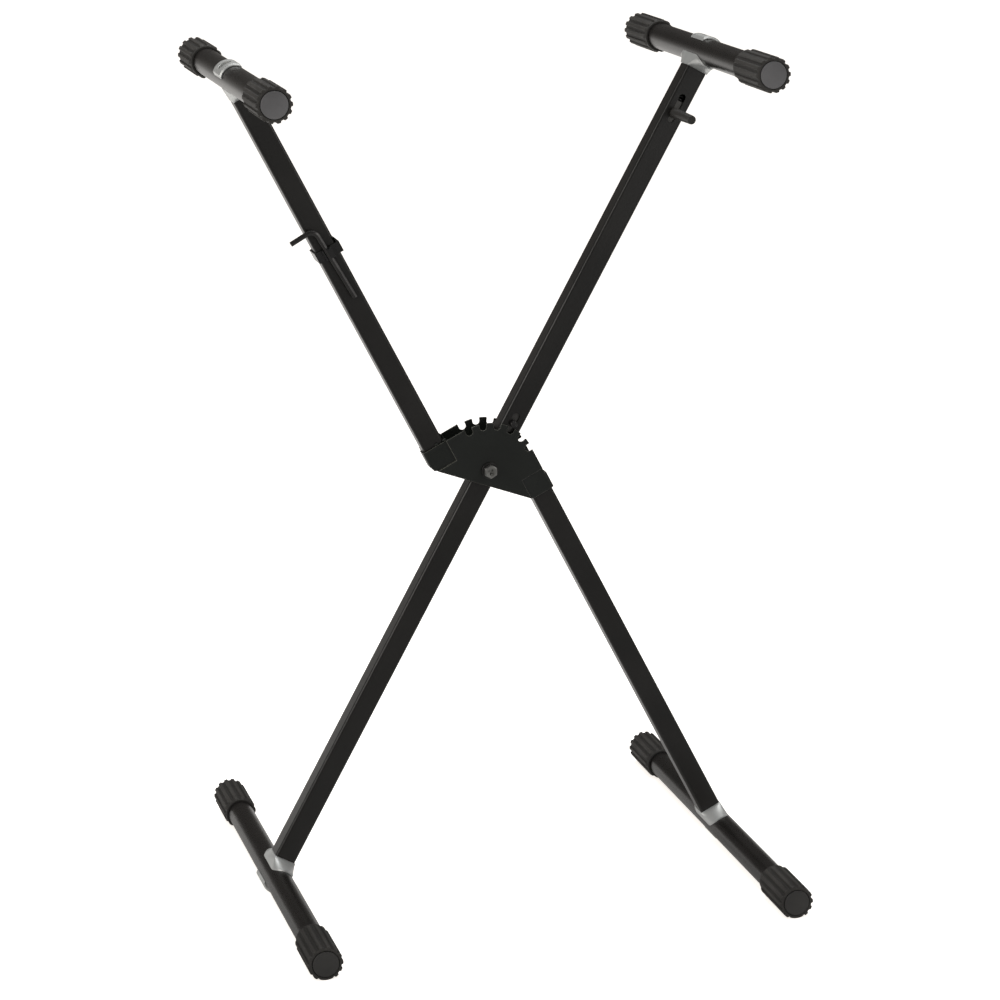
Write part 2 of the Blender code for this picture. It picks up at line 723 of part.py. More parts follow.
def cap(smooth_below, length):
    """Fluted sleeve, open at both ends. Foot caps have a smooth sole where they meet the floor."""
    outline = []
    pitch = 2 * math.pi / CAP_RIB_COUNT
    for number in range(CAP_RIB_COUNT):
        middle = number * pitch
        sole = smooth_below and abs(math.sin(middle) + 1) < 0.06
        foot = CAP_SOLE_RADIUS if sole else CAP_SKIN_RADIUS
        tip = CAP_SOLE_RADIUS if sole else CAP_RIB_RADIUS
        side = tip if sole else tip - 0.0002
        for share, radius in (
            (-CAP_RIB_FOOT, foot),
            (-CAP_RIB_TOP, side),
            (0.0, tip),
            (CAP_RIB_TOP, side),
            (CAP_RIB_FOOT, foot),
        ):
            outline.append((radius, middle + share * pitch))
    inner_segments = 28
    shape = bmesh.new()
    rows = []
    for y, shrink in ((0.0, CAP_EDGE), (-CAP_EDGE, 0.0), (CAP_EDGE - length, 0.0), (-length, CAP_EDGE)):
        row = []
        for radius, turn in outline:
            fitted = min(radius, CAP_RIB_RADIUS - shrink) if shrink else radius
            row.append(shape.verts.new((fitted * math.cos(turn), y, fitted * math.sin(turn))))
        rows.append(row)
    for first, second in zip(rows, rows[1:]):
        for n in range(len(outline)):
            after = (n + 1) % len(outline)
            shape.faces.new((first[n], first[after], second[after], second[n]))
    shape.faces.new(rows[0])
    shape.faces.new(rows[-1])
    solid = mesh_from(shape, "cap")
    through = moved(cylinder(TUBE_RADIUS + GAP, -0.01, length + 0.01, inner_segments), ALONG_Y)
    return combined(solid, [("DIFFERENCE", through)])


def plug():
    """Flat disc that closes the tube end, with a stem inside the tube. Its face looks along -Y."""
    stem = TUBE_RADIUS - TUBE_WALL - GAP
    edge = 0.0007
    return moved(
        turned(
            [
                (0, -PLUG_DISC - PLUG_STEM),
                (stem, -PLUG_DISC - PLUG_STEM),
                (stem, -PLUG_DISC),
                (PLUG_RADIUS, -PLUG_DISC),
                (PLUG_RADIUS, -edge),
                (PLUG_RADIUS - edge, 0),
                (0, 0),
            ],
            28,
        ),
        ALONG_Y,
    )


tubes = {"top": cross_tube(TOP_SPAN), "bottom": cross_tube(FOOT_SPAN)}
spans = {"top": TOP_SPAN, "bottom": FOOT_SPAN}
cap_lengths = {"top": TOP_CAP_LENGTH, "bottom": FOOT_CAP_LENGTH}
caps = {"top": cap(False, TOP_CAP_LENGTH), "bottom": cap(True, FOOT_CAP_LENGTH)}
saddle_mesh = saddle()
clamp_mesh = clamp_plate()
screw_mesh = tube_screw()
plug_mesh = plug()
top_plug_mesh = plug_mesh.copy()
ends = (
    ("top_right", leg_a, 0.0, LONG_LEAN, Matrix.Identity(4)),
    ("bottom_left", leg_a, 0.0, LONG_LEAN, half_turn),
    ("top_left", leg_b, -SPLIT_OFFSET, -SPLIT_LEAN, Matrix.Identity(4)),
    ("bottom_right", leg_b, SPLIT_OFFSET, -SPLIT_LEAN, half_turn),
)
for where, body, offset, lean, turn in ends:
    level = where.split("_")[0]
    reach = PIVOT_TO_TUBE if level == "top" else -PIVOT_TO_TUBE
    joint = Matrix.Translation((offset, 0, reach)) @ turn
    placed(f"tube_{where}", tubes[level], POWDER_COAT, body, joint, smooth=False)
    placed(f"saddle_{where}", saddle_mesh, CAST_METAL, body, joint)
    placed(f"clamp_{where}", clamp_mesh, CAST_METAL, body, joint)
    placed(f"screw_{where}", screw_mesh, ZINC_STEEL, body, joint)
    placed(f"nut_{where}", nut, ZINC_STEEL, body, joint)
    upright = Matrix.Translation((offset, 0, reach)) @ Matrix.Rotation(-lean, 4, "Y")
    for side, about in (("front", 0.0), ("rear", math.pi)):
        facing = upright @ Matrix.Rotation(about, 4, "Z")
        cap_end = -spans[level] / 2 + PLUG_STAND_OUT + cap_lengths[level]
        cap_place = facing @ Matrix.Translation((0, cap_end, 0))
        plug_place = facing @ Matrix.Translation((0, -spans[level] / 2, 0))
        disc = top_plug_mesh if level == "top" else plug_mesh
        placed(f"cap_{where}_{side}", caps[level], RUBBER, body, cap_place)
        placed(f"plug_{where}_{side}", disc, GREY_PLASTIC if level == "top" else PLASTIC, body, plug_place)

# Hexagon key: bent bar whose long arm lies down the split leg, drawn in the key's own frame
key_depth = HALF_LEG + GAP + CLIP_WALL + GAP + KEY_HEX / 2


def key_mesh():
    path = [(-KEY_SHORT, 0.0, KEY_LONG_UP)]
    for step in range(7):
        turn = math.radians(90 - 15 * step)
        x = KEY_BEND * math.cos(turn) - KEY_BEND
        z = KEY_LONG_UP - KEY_BEND + KEY_BEND * math.sin(turn)
        path.append((x, 0.0, z))
    path.append((0.0, 0.0, -KEY_LONG_DOWN))
    hexagon_curve = bpy.data.curves.new("key_section", "CURVE")
    section = hexagon_curve.splines.new("POLY")
    section.points.add(5)
    for point, turn in zip(section.points, range(30, 390, 60)):
        angle = math.radians(turn)
        radius = KEY_HEX / math.sqrt(3)
        point.co = (radius * math.cos(angle), radius * math.sin(angle), 0, 1)
    section.use_cyclic_u = True
    section_object = bpy.data.objects.new("key_section", hexagon_curve)
    bpy.context.scene.collection.objects.link(section_object)
    route = bpy.data.curves.new("key_route", "CURVE")
    route.dimensions = "3D"
    line = route.splines.new("POLY")
    line.points.add(len(path) - 1)
    for point, place in zip(line.points, path):
        point.co = (*place, 1)
    route.bevel_mode = "OBJECT"
    route.bevel_object = section_object
    route.use_fill_caps = True
    route_object = bpy.data.objects.new("key_route", route)
    bpy.context.scene.collection.objects.link(route_object)
    bpy.context.view_layer.update()
    graph = bpy.context.evaluated_depsgraph_get()
    mesh = bpy.data.meshes.new_from_object(route_object.evaluated_get(graph))
    for item in (route_object, section_object):
        bpy.data.objects.remove(item)
    shape = bmesh.new()
    shape.from_mesh(mesh)
    bmesh.ops.remove_doubles(shape, verts=shape.verts, dist=1e-6)
    bmesh.ops.translate(shape, verts=shape.verts, vec=(0, -key_depth, 0))
    return mesh_from(shape)


placed("hex_key", key_mesh(), DARK_STEEL, key_frame)

# Plastic clip: a channel snapped round the leg, with a rib and a hook that hold the key's long arm
clip_inner = HALF_LEG + GAP
clip_outer = clip_inner + CLIP_WALL
side_outer = clip_inner + 0.0030
back_reach = 0.005
half_clip = CLIP_LENGTH / 2
clip_outline = [
    (-clip_outer, -clip_outer),
    (side_outer, -clip_outer),
    (side_outer, clip_outer),
    (clip_inner - back_reach, clip_outer),
    (clip_inner - back_reach, clip_inner),
    (clip_inner, clip_inner),
    (clip_inner, -clip_inner),
    (-clip_inner, -clip_inner),
    (-clip_inner, clip_inner),
    (-clip_inner + back_reach, clip_inner),
    (-clip_inner + back_reach, clip_outer),
    (-clip_outer, clip_outer),
]
leg_centre = Matrix.Translation((-SPLIT_OFFSET, 0, CLIP_HEIGHT))
channel = moved(upright_prism(clip_outline, -half_clip, half_clip), leg_centre)
tail = prism(
    [(clip_inner, half_clip - 0.001), (side_outer, half_clip - 0.001), (clip_inner, half_clip + 0.0065)],
    -clip_outer,
    clip_outer,
)
rib_in = KEY_HEX / math.sqrt(3) + GAP
rib_out = rib_in + 0.0018
hook_face = key_depth + KEY_HEX / 2 + GAP
left_rib = block((-rib_out, -rib_in), (-key_depth - 0.0008, -clip_outer + 0.0006), (-half_clip, half_clip))
hook = block((rib_in, rib_out + 0.0006), (-hook_face - 0.0014, -clip_outer + 0.0006), (-half_clip, half_clip))
hook_top = block(
    (0.0004, rib_out), (-hook_face - 0.0014, -hook_face), (-half_clip + 0.001, half_clip - 0.001)
)
clip = combined(
    channel,
    [
        ("UNION", moved(tail, leg_centre)),
        ("UNION", moved(left_rib, key_matrix)),
        ("UNION", moved(hook, key_matrix)),
        ("UNION", moved(hook_top, key_matrix)),
    ],
)
placed("key_clip", clip, PLASTIC, leg_b)

for piece in stand.objects:
    if piece.type == "MESH":
        piece.data.shade_smooth()
        piece.data.set_sharp_from_angle(angle=math.radians(32))
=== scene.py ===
"""Folding X-shaped keyboard stand: the finish and the fine forms of each piece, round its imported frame."""

import json
import math

import bmesh
import bpy
import numpy as np
from mathutils import Matrix, Vector


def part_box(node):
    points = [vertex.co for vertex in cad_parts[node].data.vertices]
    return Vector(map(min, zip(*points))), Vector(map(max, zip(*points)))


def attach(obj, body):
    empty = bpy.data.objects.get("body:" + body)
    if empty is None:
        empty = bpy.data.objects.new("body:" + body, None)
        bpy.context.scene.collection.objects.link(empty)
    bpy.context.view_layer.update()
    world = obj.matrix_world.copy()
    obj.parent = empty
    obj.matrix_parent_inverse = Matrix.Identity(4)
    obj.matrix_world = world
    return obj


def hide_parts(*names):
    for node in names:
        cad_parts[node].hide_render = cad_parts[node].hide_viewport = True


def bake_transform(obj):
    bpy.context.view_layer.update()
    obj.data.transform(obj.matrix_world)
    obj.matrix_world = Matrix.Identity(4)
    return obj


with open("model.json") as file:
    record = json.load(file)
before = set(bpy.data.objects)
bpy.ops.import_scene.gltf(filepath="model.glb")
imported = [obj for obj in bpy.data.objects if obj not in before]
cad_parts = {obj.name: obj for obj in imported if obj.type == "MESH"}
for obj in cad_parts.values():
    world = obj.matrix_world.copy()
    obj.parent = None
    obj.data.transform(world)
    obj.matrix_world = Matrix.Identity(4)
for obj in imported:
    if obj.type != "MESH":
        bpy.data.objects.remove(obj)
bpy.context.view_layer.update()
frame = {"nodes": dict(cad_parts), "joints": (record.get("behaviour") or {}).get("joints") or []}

# The through leg is one length of square steel tube with rounded corners, powder coated satin black.
# It is slotted right through for the locking pin and in front for the pull peg. Both legs lean about
# the pivot, so each is drawn upright and then leaned over.
LEG_HALF = 0.012
LEG_WALL = 0.0015
LEG_CORNER = 0.003
PIN_SLOT = (0.0450, 0.0687, 0.0041)
SLOT_HALF = 0.0036
PEG_SLOT_DROP = 0.0111
PEG_SLOT_RISE = 0.0221
ARC_POINTS = 9
SAME_POINT = 2e-6
CLOUD_SCALE = 14.0
CLOUD_TONES = (0.35, 0.70)

joints = {joint["name"]: joint for joint in frame["joints"]}
pivot = np.array(joints["leg_fold"]["pos_m"])
pull_axis = joints["lock_pull"]["axis"]
through_lean = math.atan2(pull_axis[0], pull_axis[2])


def leaned(points, lean):
    """Points drawn in a leg's own frame, Z up the leg, turned about Y by the lean and set on the pivot.

    New x is x cos(lean) + z sin(lean), and new z is z cos(lean) - x sin(lean).
    """
    c, s = math.cos(lean), math.sin(lean)
    x, y, z = np.moveaxis(np.asarray(points, float), -1, 0)
    return np.stack([x * c + z * s, y, z * c - x * s], -1) + pivot


def span(node, lean):
    """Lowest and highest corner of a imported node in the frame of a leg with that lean."""
    corners = frame["nodes"][node].data.vertices
    points = np.empty(len(corners) * 3)
    corners.foreach_get("co", points)
    own = leaned(points.reshape(-1, 3) - pivot, -lean) - pivot
    return own.min(0), own.max(0)


def nodes_of(material, *kinds):
    """New nodes in a material, one of each kind, with its link function and its shader."""
    tree = material.node_tree
    made = [tree.nodes.new("ShaderNode" + kind) for kind in kinds]
    return tree.links.new, tree.nodes["Principled BSDF"], made


def coat(name, dark, pale, roughness, grain, height, metallic=0.0, gloss=0.5):
    """A finish whose colour drifts between two tones and whose gloss and surface follow a fine noise.

    Roughness is a pair between which the same noise moves; grain is the noise's size in metres and
    height how far the surface rises and falls with it.
    """
    material = bpy.data.materials.new(name)
    material.use_nodes = True
    link, shader, made = nodes_of(
        material, "TexCoord", "TexNoise", "TexNoise", "ValToRGB", "MapRange", "Bump"
    )
    coordinates, cloud, fine, tone, shine, bump = made
    cloud.inputs["Scale"].default_value = CLOUD_SCALE
    cloud.inputs["Detail"].default_value = 5.0
    fine.inputs["Scale"].default_value = 1.0 / grain
    fine.inputs["Detail"].default_value = 3.0
    tone.color_ramp.elements[0].position = CLOUD_TONES[0]
    tone.color_ramp.elements[0].color = (*dark, 1)
    tone.color_ramp.elements[1].position = CLOUD_TONES[1]
    tone.color_ramp.elements[1].color = (*pale, 1)
    shine.inputs["To Min"].default_value = roughness[0]
    shine.inputs["To Max"].default_value = roughness[1]
    bump.inputs["Strength"].default_value = 1.0
    bump.inputs["Distance"].default_value = height
    for noise in (cloud, fine):
        link(coordinates.outputs["Object"], noise.inputs["Vector"])
    link(cloud.outputs["Fac"], tone.inputs["Fac"])
    link(tone.outputs["Color"], shader.inputs["Base Color"])
    link(fine.outputs["Fac"], shine.inputs["Value"])
    link(shine.outputs["Result"], shader.inputs["Roughness"])
    link(fine.outputs["Fac"], bump.inputs["Height"])
    link(bump.outputs["Normal"], shader.inputs["Normal"])
    shader.inputs["Metallic"].default_value = metallic
    shader.inputs["Specular IOR Level"].default_value = gloss
    return material


def piece(name, patches, material, body, replaces=(), sharp=35, bevel=0.0, flat_ends=False):
    """Joins grids of points into one closed mesh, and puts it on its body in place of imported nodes.

    A patch is a grid of points, with True for each square to keep where some are left out. Neighbours
    in rows and columns are joined by squares, and seams and poles close where points meet.
    """
    corners, squares, count = [], [], 0
    for patch in patches:
        grid, keep = patch if isinstance(patch, tuple) else (patch, None)
        rows, columns = grid.shape[:2]
        number = np.arange(rows * columns).reshape(rows, columns) + count
        square = np.stack([number[:-1, :-1], number[:-1, 1:], number[1:, 1:], number[1:, :-1]], -1)
        squares.append(square.reshape(-1, 4) if keep is None else square[keep])
        corners.append(grid.reshape(-1, 3))
        count += rows * columns
    mesh = bpy.data.meshes.new(name)
    mesh.from_pydata(np.concatenate(corners).tolist(), [], np.concatenate(squares).tolist())
    shape = bmesh.new()
    shape.from_mesh(mesh)
    bmesh.ops.remove_doubles(shape, verts=shape.verts, dist=SAME_POINT)
    if flat_ends:
        bmesh.ops.holes_fill(shape, edges=[edge for edge in shape.edges if edge.is_boundary], sides=0)
    bmesh.ops.recalc_face_normals(shape, faces=shape.faces)
    shape.to_mesh(mesh)
    shape.free()
    return fitted(mesh, name, material, body, replaces, sharp, bevel)


def fitted(mesh, name, material, body, replaces, sharp, bevel):
    """Shades a finished mesh, rounds its edges where asked and rides it on its body if it has one."""
    mesh.materials.clear()
    mesh.materials.append(material)
    mesh.shade_smooth()
    mesh.set_sharp_from_angle(angle=math.radians(sharp))
    made = bpy.data.objects.new(name, mesh)
    bpy.context.scene.collection.objects.link(made)
    if bevel:
        rounding = made.modifiers.new("rounding", "BEVEL")
        rounding.width = bevel
        rounding.segments = 3
        rounding.limit_method = "ANGLE"
        rounding.angle_limit = math.radians(sharp)
        rounding.harden_normals = True
    else:
        even = made.modifiers.new("even", "WEIGHTED_NORMAL")
        even.keep_sharp = True
    if replaces:
        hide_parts(*replaces)
    if body:
        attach(made, body)
    return made


def slot_width(levels, slot):
    """Half the width of a round-ended slot (low, high, half width) at each level, and 0 beyond its ends."""
    low, high, half = slot
    past = np.maximum(np.maximum(low + half - levels, levels - high + half), 0)
    return np.sqrt(np.clip(half**2 - past**2, 0, None))


def slot_levels(slot):
    """The levels that a slot's round ends need: even steps round each quarter circle."""
    low, high, half = slot
    turn = np.linspace(0, math.pi / 2, ARC_POINTS)
    return np.concatenate([low + half - half * np.cos(turn), high - half + half * np.sin(turn)])


def square_tube(low, high, front_slots=(), rear_slots=()):
    """Half of the tube's section, from the front slot round to the rear slot and back along the inner wall.

    The section is carried up the leg over levels from low to high. At each level its two ends stand
    half a slot's width from the middle plane, so both halves meet where there is no slot.
    """
    stops = [np.array([low, high])] + [slot_levels(slot) for slot in (*front_slots, *rear_slots)]
    levels = np.unique(np.round(np.concatenate(stops), 7))
    front = sum((slot_width(levels, slot) for slot in front_slots), np.zeros_like(levels))
    rear = sum((slot_width(levels, slot) for slot in rear_slots), np.zeros_like(levels))
    sheets = []
    for half, corner in ((LEG_HALF, LEG_CORNER), (LEG_HALF - LEG_WALL, LEG_CORNER - LEG_WALL)):
        turn = np.linspace(0, math.pi / 2, ARC_POINTS)
        flat = half - corner
        arc_x = flat + corner * np.sin(turn)
        arc_y = -flat - corner * np.cos(turn)
        round_x = np.concatenate([arc_x, arc_x[::-1]])
        round_y = np.concatenate([arc_y, -arc_y[::-1]])
        wide = np.repeat(round_x[None], len(levels), 0)
        deep = np.repeat(round_y[None], len(levels), 0)
        wide = np.concatenate([front[:, None], wide, rear[:, None]], 1)
        deep = np.pad(deep, ((0, 0), (1, 1)), constant_values=((0, 0), (-half, half)))
        sheets.append(np.stack([wide, deep, np.repeat(levels[:, None], wide.shape[1], 1)], -1))
    outer, inner = sheets
    front_open = np.maximum(front[:-1], front[1:]) > 0
    rear_open = np.maximum(rear[:-1], rear[1:]) > 0
    patches = [outer, inner]
    for edge, is_open in ((0, front_open), (-1, rear_open)):
        wall = np.stack([outer[:, edge], inner[:, edge]], 1)
        patches.append((wall, is_open[:, None]))
    for end in (0, -1):
        patches.append(np.stack([outer[end], inner[end]]))
    other_side = [
        (patch[0] * [-1, 1, 1], patch[1]) if isinstance(patch, tuple) else patch * [-1, 1, 1]
        for patch in patches
    ]
    return patches + other_side


def placed(patches, place):
    """The same patches with a function applied to each one's points."""
    return [
        (place(patch[0]), patch[1]) if isinstance(patch, tuple) else place(patch) for patch in patches
    ]


leg_coat = coat(
    "leg_powder_coat", (0.0065, 0.0060, 0.0052), (0.011, 0.0100, 0.0088), (0.27, 0.42), 0.0008, 0.000012
)
stud_low, stud_high = span("peg_stud", through_lean)
peg_height = (stud_low[2] + stud_high[2]) / 2
peg_slot = (peg_height - PEG_SLOT_DROP, peg_height + PEG_SLOT_RISE, SLOT_HALF)
leg_low, leg_high = span("leg_a_tube", through_lean)
through_tube = square_tube(leg_low[2], leg_high[2], (PIN_SLOT, peg_slot), (PIN_SLOT,))
piece(
    "through_leg",
    placed(through_tube, lambda points: leaned(points, through_lean)),
    leg_coat,
    "leg_a",
    ["leg_a_tube"],
)

# The split leg is the same tube in two shorter lengths, one above and one below the pivot, set off
# to either side of it by the width of the through leg, so that the stand can fold flat.
def centre(node):
    """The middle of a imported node's box: half the sum of its lowest and highest corners."""
    low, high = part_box(node)
    return (np.array(low) + np.array(high)) / 2


across = (centre("tube_top_left") - centre("tube_bottom_right")) / 2
pivot_to_tube = np.linalg.norm(centre("tube_top_right") - centre("tube_bottom_left")) / 2
split_offset = math.sqrt(across @ across - pivot_to_tube**2)
split_lean = math.atan2(across[0], across[2]) + math.atan2(split_offset, pivot_to_tube)
for name in ("upper", "lower"):
    node = f"leg_b_{name}_tube"
    low, high = span(node, split_lean)
    offset = (low[0] + high[0]) / 2
    piece(
        f"split_leg_{name}",
        placed(
            square_tube(low[2], high[2]),
            lambda points, offset=offset: leaned(points + [offset, 0, 0], split_lean),
        ),
        leg_coat,
        "leg_b",
        [node],
    )

# The two sector plates are pressed from 2 mm steel: raised over the through leg, stepped down and
# welded to the split leg at two corners, with the front one's ends bent round the tubes.
PLATE_EDGE = 0.0004
FOLD_ANGLE = 28


def merged_copy(node):
    """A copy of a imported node's mesh whose triangles are joined into whole faces where they lie flat."""
    mesh = frame["nodes"][node].data.copy()
    shape = bmesh.new()
    shape.from_mesh(mesh)
    bmesh.ops.remove_doubles(shape, verts=shape.verts, dist=SAME_POINT)
    bmesh.ops.dissolve_limit(shape, angle_limit=math.radians(1), verts=shape.verts, edges=shape.edges)
    shape.to_mesh(mesh)
    shape.free()
    return mesh


plate_coat = coat(
    "plate_powder_coat", (0.0048, 0.0064, 0.0048), (0.0080, 0.0104, 0.0080), (0.34, 0.5), 0.0007, 0.00002
)
# The plates' rounded edges and fold lines take a paler finish: a painted highlight along each edge.
painted_edge_highlight = coat(
    "painted_edge_highlight", (0.115, 0.112, 0.098), (0.200, 0.195, 0.170), (0.25, 0.40), 0.0005, 0.00001
)
for side in ("front", "rear"):
    node = f"sector_plate_{side}"
    made = fitted(
        merged_copy(node),
        f"pressed_plate_{side}",
        plate_coat,
        "leg_b",
        [node],
        FOLD_ANGLE,
        PLATE_EDGE,
    )
    # The rounding's faces carry the painted edge highlight.
    made.data.materials.append(painted_edge_highlight)
    made.modifiers["rounding"].material = 1

# Dabs of weld hold the plates' ends to the split leg. They are painted over with the rest, and lie in
# the corner between the plate's edge and the tube.
WELD_HALF = (0.0023, 0.0017, 0.0016)
WELD_PLACES = (0.0368, 0.0273)
WELD_RISE = 0.0012
WELD_STAND = 0.0006
WELD_WAVES = (0.10, 0.06)


def dab_grid(aside, hand, height, number):
    """A ball drawn out along X, whose radius swells and shrinks by a few small waves over it."""
    turn = np.linspace(0, 2 * math.pi, 33)[None]
    tilt = np.linspace(0, math.pi, 17)[:, None]
    radius = 1 + WELD_WAVES[0] * np.sin(3 * turn + number) * np.sin(tilt) ** 2
    radius += WELD_WAVES[1] * np.sin(5 * tilt + number)
    x = radius * np.cos(tilt) * np.ones_like(turn)
    y = radius * np.sin(tilt) * np.cos(turn)
    z = radius * np.sin(tilt) * np.sin(turn)
    middle = np.array([aside, hand * (LEG_HALF + WELD_STAND), height])
    return np.stack([x, y, z], -1) * WELD_HALF + middle


plate_low, plate_high = span("sector_plate_rear", split_lean)
for corner, (side, hand, up) in enumerate((("front", -1, 1), ("rear", 1, 1), ("rear", 1, -1))):
    height = plate_high[2] + WELD_RISE if up > 0 else plate_low[2] - WELD_RISE
    where = "upper" if up > 0 else "lower"
    for number, aside in enumerate(WELD_PLACES):
        piece(
            f"weld_{side}_{where}_{number + 1}",
            [leaned(dab_grid(-up * aside, hand, height, number + 2 * corner), split_lean)],
            plate_coat,
            "leg_b",
        )

# The pivot is an M8 bolt with a nut and plain washers in black oxide, on a zinc plated steel bush
# through the leg, with a black plastic spacer inside each plate. The bolt's head is dished, with a
# cross recess pressed in it.
FASTENER_EDGE = 0.00025
FASTENER_ANGLE = 30
BOLT_SHANK = 0.0040
BOLT_POINT = 0.0006
BOLT_FLATS = 0.013
BOLT_HEAD = 0.0053
BOLT_CROWN = 0.0061
HEAD_CHAMFER = 0.0009
CHAMFER_SLOPE = math.radians(30)
BOLT_DISH = 0.0050
DISH_DEEP = 0.0009
CROSS_ARM = 0.0032
CROSS_HALF = 0.0010
CROSS_DEEP = 0.0024
CROSS_EASE = 0.0002
CROWN_SHARE = 0.97


def facing_front(points):
    """Turns what is drawn with Z as its own axis so that its high end looks along -Y."""
    x, y, z = np.moveaxis(points, -1, 0)
    return np.stack([x, -z, y], -1)


def bolt_grid(tip, top):
    """Circles carried up the bolt's axis, whose radius on the head is the lesser of a hexagon and a cone.

    The crown is dished by a bowl whose depth falls off with the square of the radius, and dips further
    by a smooth step inside a cross, so the recess is pressed in it.
    """
    turn = np.linspace(0, 2 * math.pi, 181)
    hexagon = BOLT_FLATS / 2 / np.cos(turn % (math.pi / 3) - math.pi / 6)
    round_turn = np.ones_like(turn)
    rows = [(0 * round_turn, tip), ((BOLT_SHANK - BOLT_POINT) * round_turn, tip)]
    rows += [(BOLT_SHANK * round_turn, tip + BOLT_POINT), (BOLT_SHANK * round_turn, top - BOLT_HEAD)]
    rows.append((hexagon, top - BOLT_HEAD))
    for drop in np.linspace(HEAD_CHAMFER, 0, 8):
        rows.append((np.minimum(hexagon, BOLT_CROWN + drop / math.tan(CHAMFER_SLOPE)), top - drop))
    rows += [(share * BOLT_CROWN * round_turn, top) for share in np.linspace(CROWN_SHARE, 0, 40)]
    radius = np.array([row[0] for row in rows])
    level = np.array([row[1] * round_turn for row in rows])
    x, y = radius * np.cos(turn), radius * np.sin(turn)

    def inside(distance, limit):
        """A smooth step from 1 within the limit to 0 beyond it, over twice the ease."""
        share = np.clip((limit + CROSS_EASE - np.abs(distance)) / (2 * CROSS_EASE), 0, 1)
        return share * share * (3 - 2 * share)

    one_arm = inside(x, CROSS_ARM) * inside(y, CROSS_HALF)
    other_arm = inside(y, CROSS_ARM) * inside(x, CROSS_HALF)
    bowl = DISH_DEEP * np.clip(1 - (radius / BOLT_DISH) ** 2, 0, 1)
    level -= np.where(level == top, bowl + CROSS_DEEP * np.maximum(one_arm, other_arm), 0)
    return np.stack([x, y, level], -1)


def repainted(nodes, material):
    """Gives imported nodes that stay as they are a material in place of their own."""
    for node in nodes:
        frame["nodes"][node].data.materials.clear()
        frame["nodes"][node].data.materials.append(material)


oxide_steel = coat(
    "black_oxide",
    (0.045, 0.044, 0.044),
    (0.085, 0.083, 0.081),
    (0.24, 0.42),
    0.0005,
    0.00001,
    metallic=0.85,
)
for node in ("pivot_nut", "pivot_washer_front", "pivot_washer_rear"):
    fitted(
        merged_copy(node),
        node + "_finished",
        oxide_steel,
        "leg_a",
        [node],
        FASTENER_ANGLE,
        FASTENER_EDGE,
    )
bolt_steel = coat(
    "bolt_steel", (0.22, 0.22, 0.21), (0.44, 0.44, 0.42), (0.26, 0.40), 0.0005, 0.00001, metallic=0.9
)
bolt_low, bolt_high = span("pivot_bolt", through_lean)
piece(
    "pivot_bolt_finished",
    [leaned(facing_front(bolt_grid(-bolt_high[1], -bolt_low[1])), through_lean)],
    bolt_steel,
    "leg_a",
    ["pivot_bolt"],
)
spacer_plastic = coat(
    "spacer_plastic", (0.010, 0.010, 0.010), (0.018, 0.018, 0.018), (0.4, 0.55), 0.0004, 0.00001
)
repainted(["pivot_spacer_front", "pivot_spacer_rear"], spacer_plastic)
zinc = coat(
    "zinc_plate", (0.36, 0.36, 0.35), (0.52, 0.52, 0.50), (0.28, 0.42), 0.0006, 0.00001, metallic=1.0
)
repainted(["pivot_bush"], zinc)

# The lock slides inside the through leg: a black steel pin across both plates' notches, joined by a
# zinc plated slider, rod and block to a pull peg in front. The peg is a stud under a moulded black
# grip that narrows to a flat round end.
PIN_RADIUS = 0.0037
PIN_EDGE = 0.0012
GRIP_BORE = 0.0035
GRIP_BORE_DEEP = 0.006
GRIP_ROOT_RADIUS = 0.0058
GRIP_TIP_RADIUS = 0.0048
GRIP_ROOT_EDGE = 0.0012
GRIP_TIP_EDGE = 0.0016
GRIP_FACE = 0.0028
GRIP_FACE_DEEP = 0.0001


def turned(profile, sides=48):
    """A profile of (radius, level) pairs turned about Z: every point goes round on its own circle."""
    radius, level = np.array(profile, float).T
    turn = np.linspace(0, 2 * math.pi, sides + 1)
    return np.stack(
        [
            radius[:, None] * np.cos(turn),
            radius[:, None] * np.sin(turn),
            np.repeat(level[:, None], sides + 1, 1),
        ],
        -1,
    )


def rounded_end(radius, end, edge, steps=6):
    """Points of a quarter round from a side at that radius to a flat end, as (radius, level) pairs."""
    turn = np.linspace(0, math.pi / 2, steps)
    inward = math.copysign(edge, end)
    return [(radius - edge + edge * math.cos(t), end - inward + inward * math.sin(t)) for t in turn]


pin_low, pin_high = span("lock_pin", through_lean)
pin_height = (pin_low[2] + pin_high[2]) / 2
pin_profile = [(0, pin_low[1]), *rounded_end(PIN_RADIUS, pin_low[1], PIN_EDGE)[::-1]]
pin_profile += [*rounded_end(PIN_RADIUS, pin_high[1], PIN_EDGE), (0, pin_high[1])]
piece(
    "locking_pin",
    [leaned(facing_front(turned(pin_profile)) + [0, 0, pin_height], through_lean)],
    oxide_steel,
    "lock",
    ["lock_pin"],
)
slide_zinc = coat(
    "greased_zinc", (0.10, 0.098, 0.094), (0.16, 0.157, 0.15), (0.34, 0.50), 0.0005, 0.00001, metallic=0.9
)
repainted(["lock_slider", "peg_block"], slide_zinc)
repainted(["lock_rod", "peg_stud"], zinc)
grip_plastic = coat(
    "grip_plastic", (0.019, 0.0175, 0.0155), (0.034, 0.031, 0.028), (0.38, 0.55), 0.0005, 0.00003
)
grip_low, grip_high = span("peg_grip", through_lean)
root, tip = -grip_high[1], -grip_low[1]
grip_profile = [(GRIP_BORE, root + GRIP_BORE_DEEP), (GRIP_BORE, root)]
grip_profile += rounded_end(GRIP_ROOT_RADIUS, -root, GRIP_ROOT_EDGE)[::-1]
grip_profile = [(radius, abs(level)) for radius, level in grip_profile]
grip_profile += rounded_end(GRIP_TIP_RADIUS, tip, GRIP_TIP_EDGE)
grip_profile += [(GRIP_FACE, tip - GRIP_FACE_DEEP), (0, tip - GRIP_FACE_DEEP), (0, root + GRIP_BORE_DEEP)]
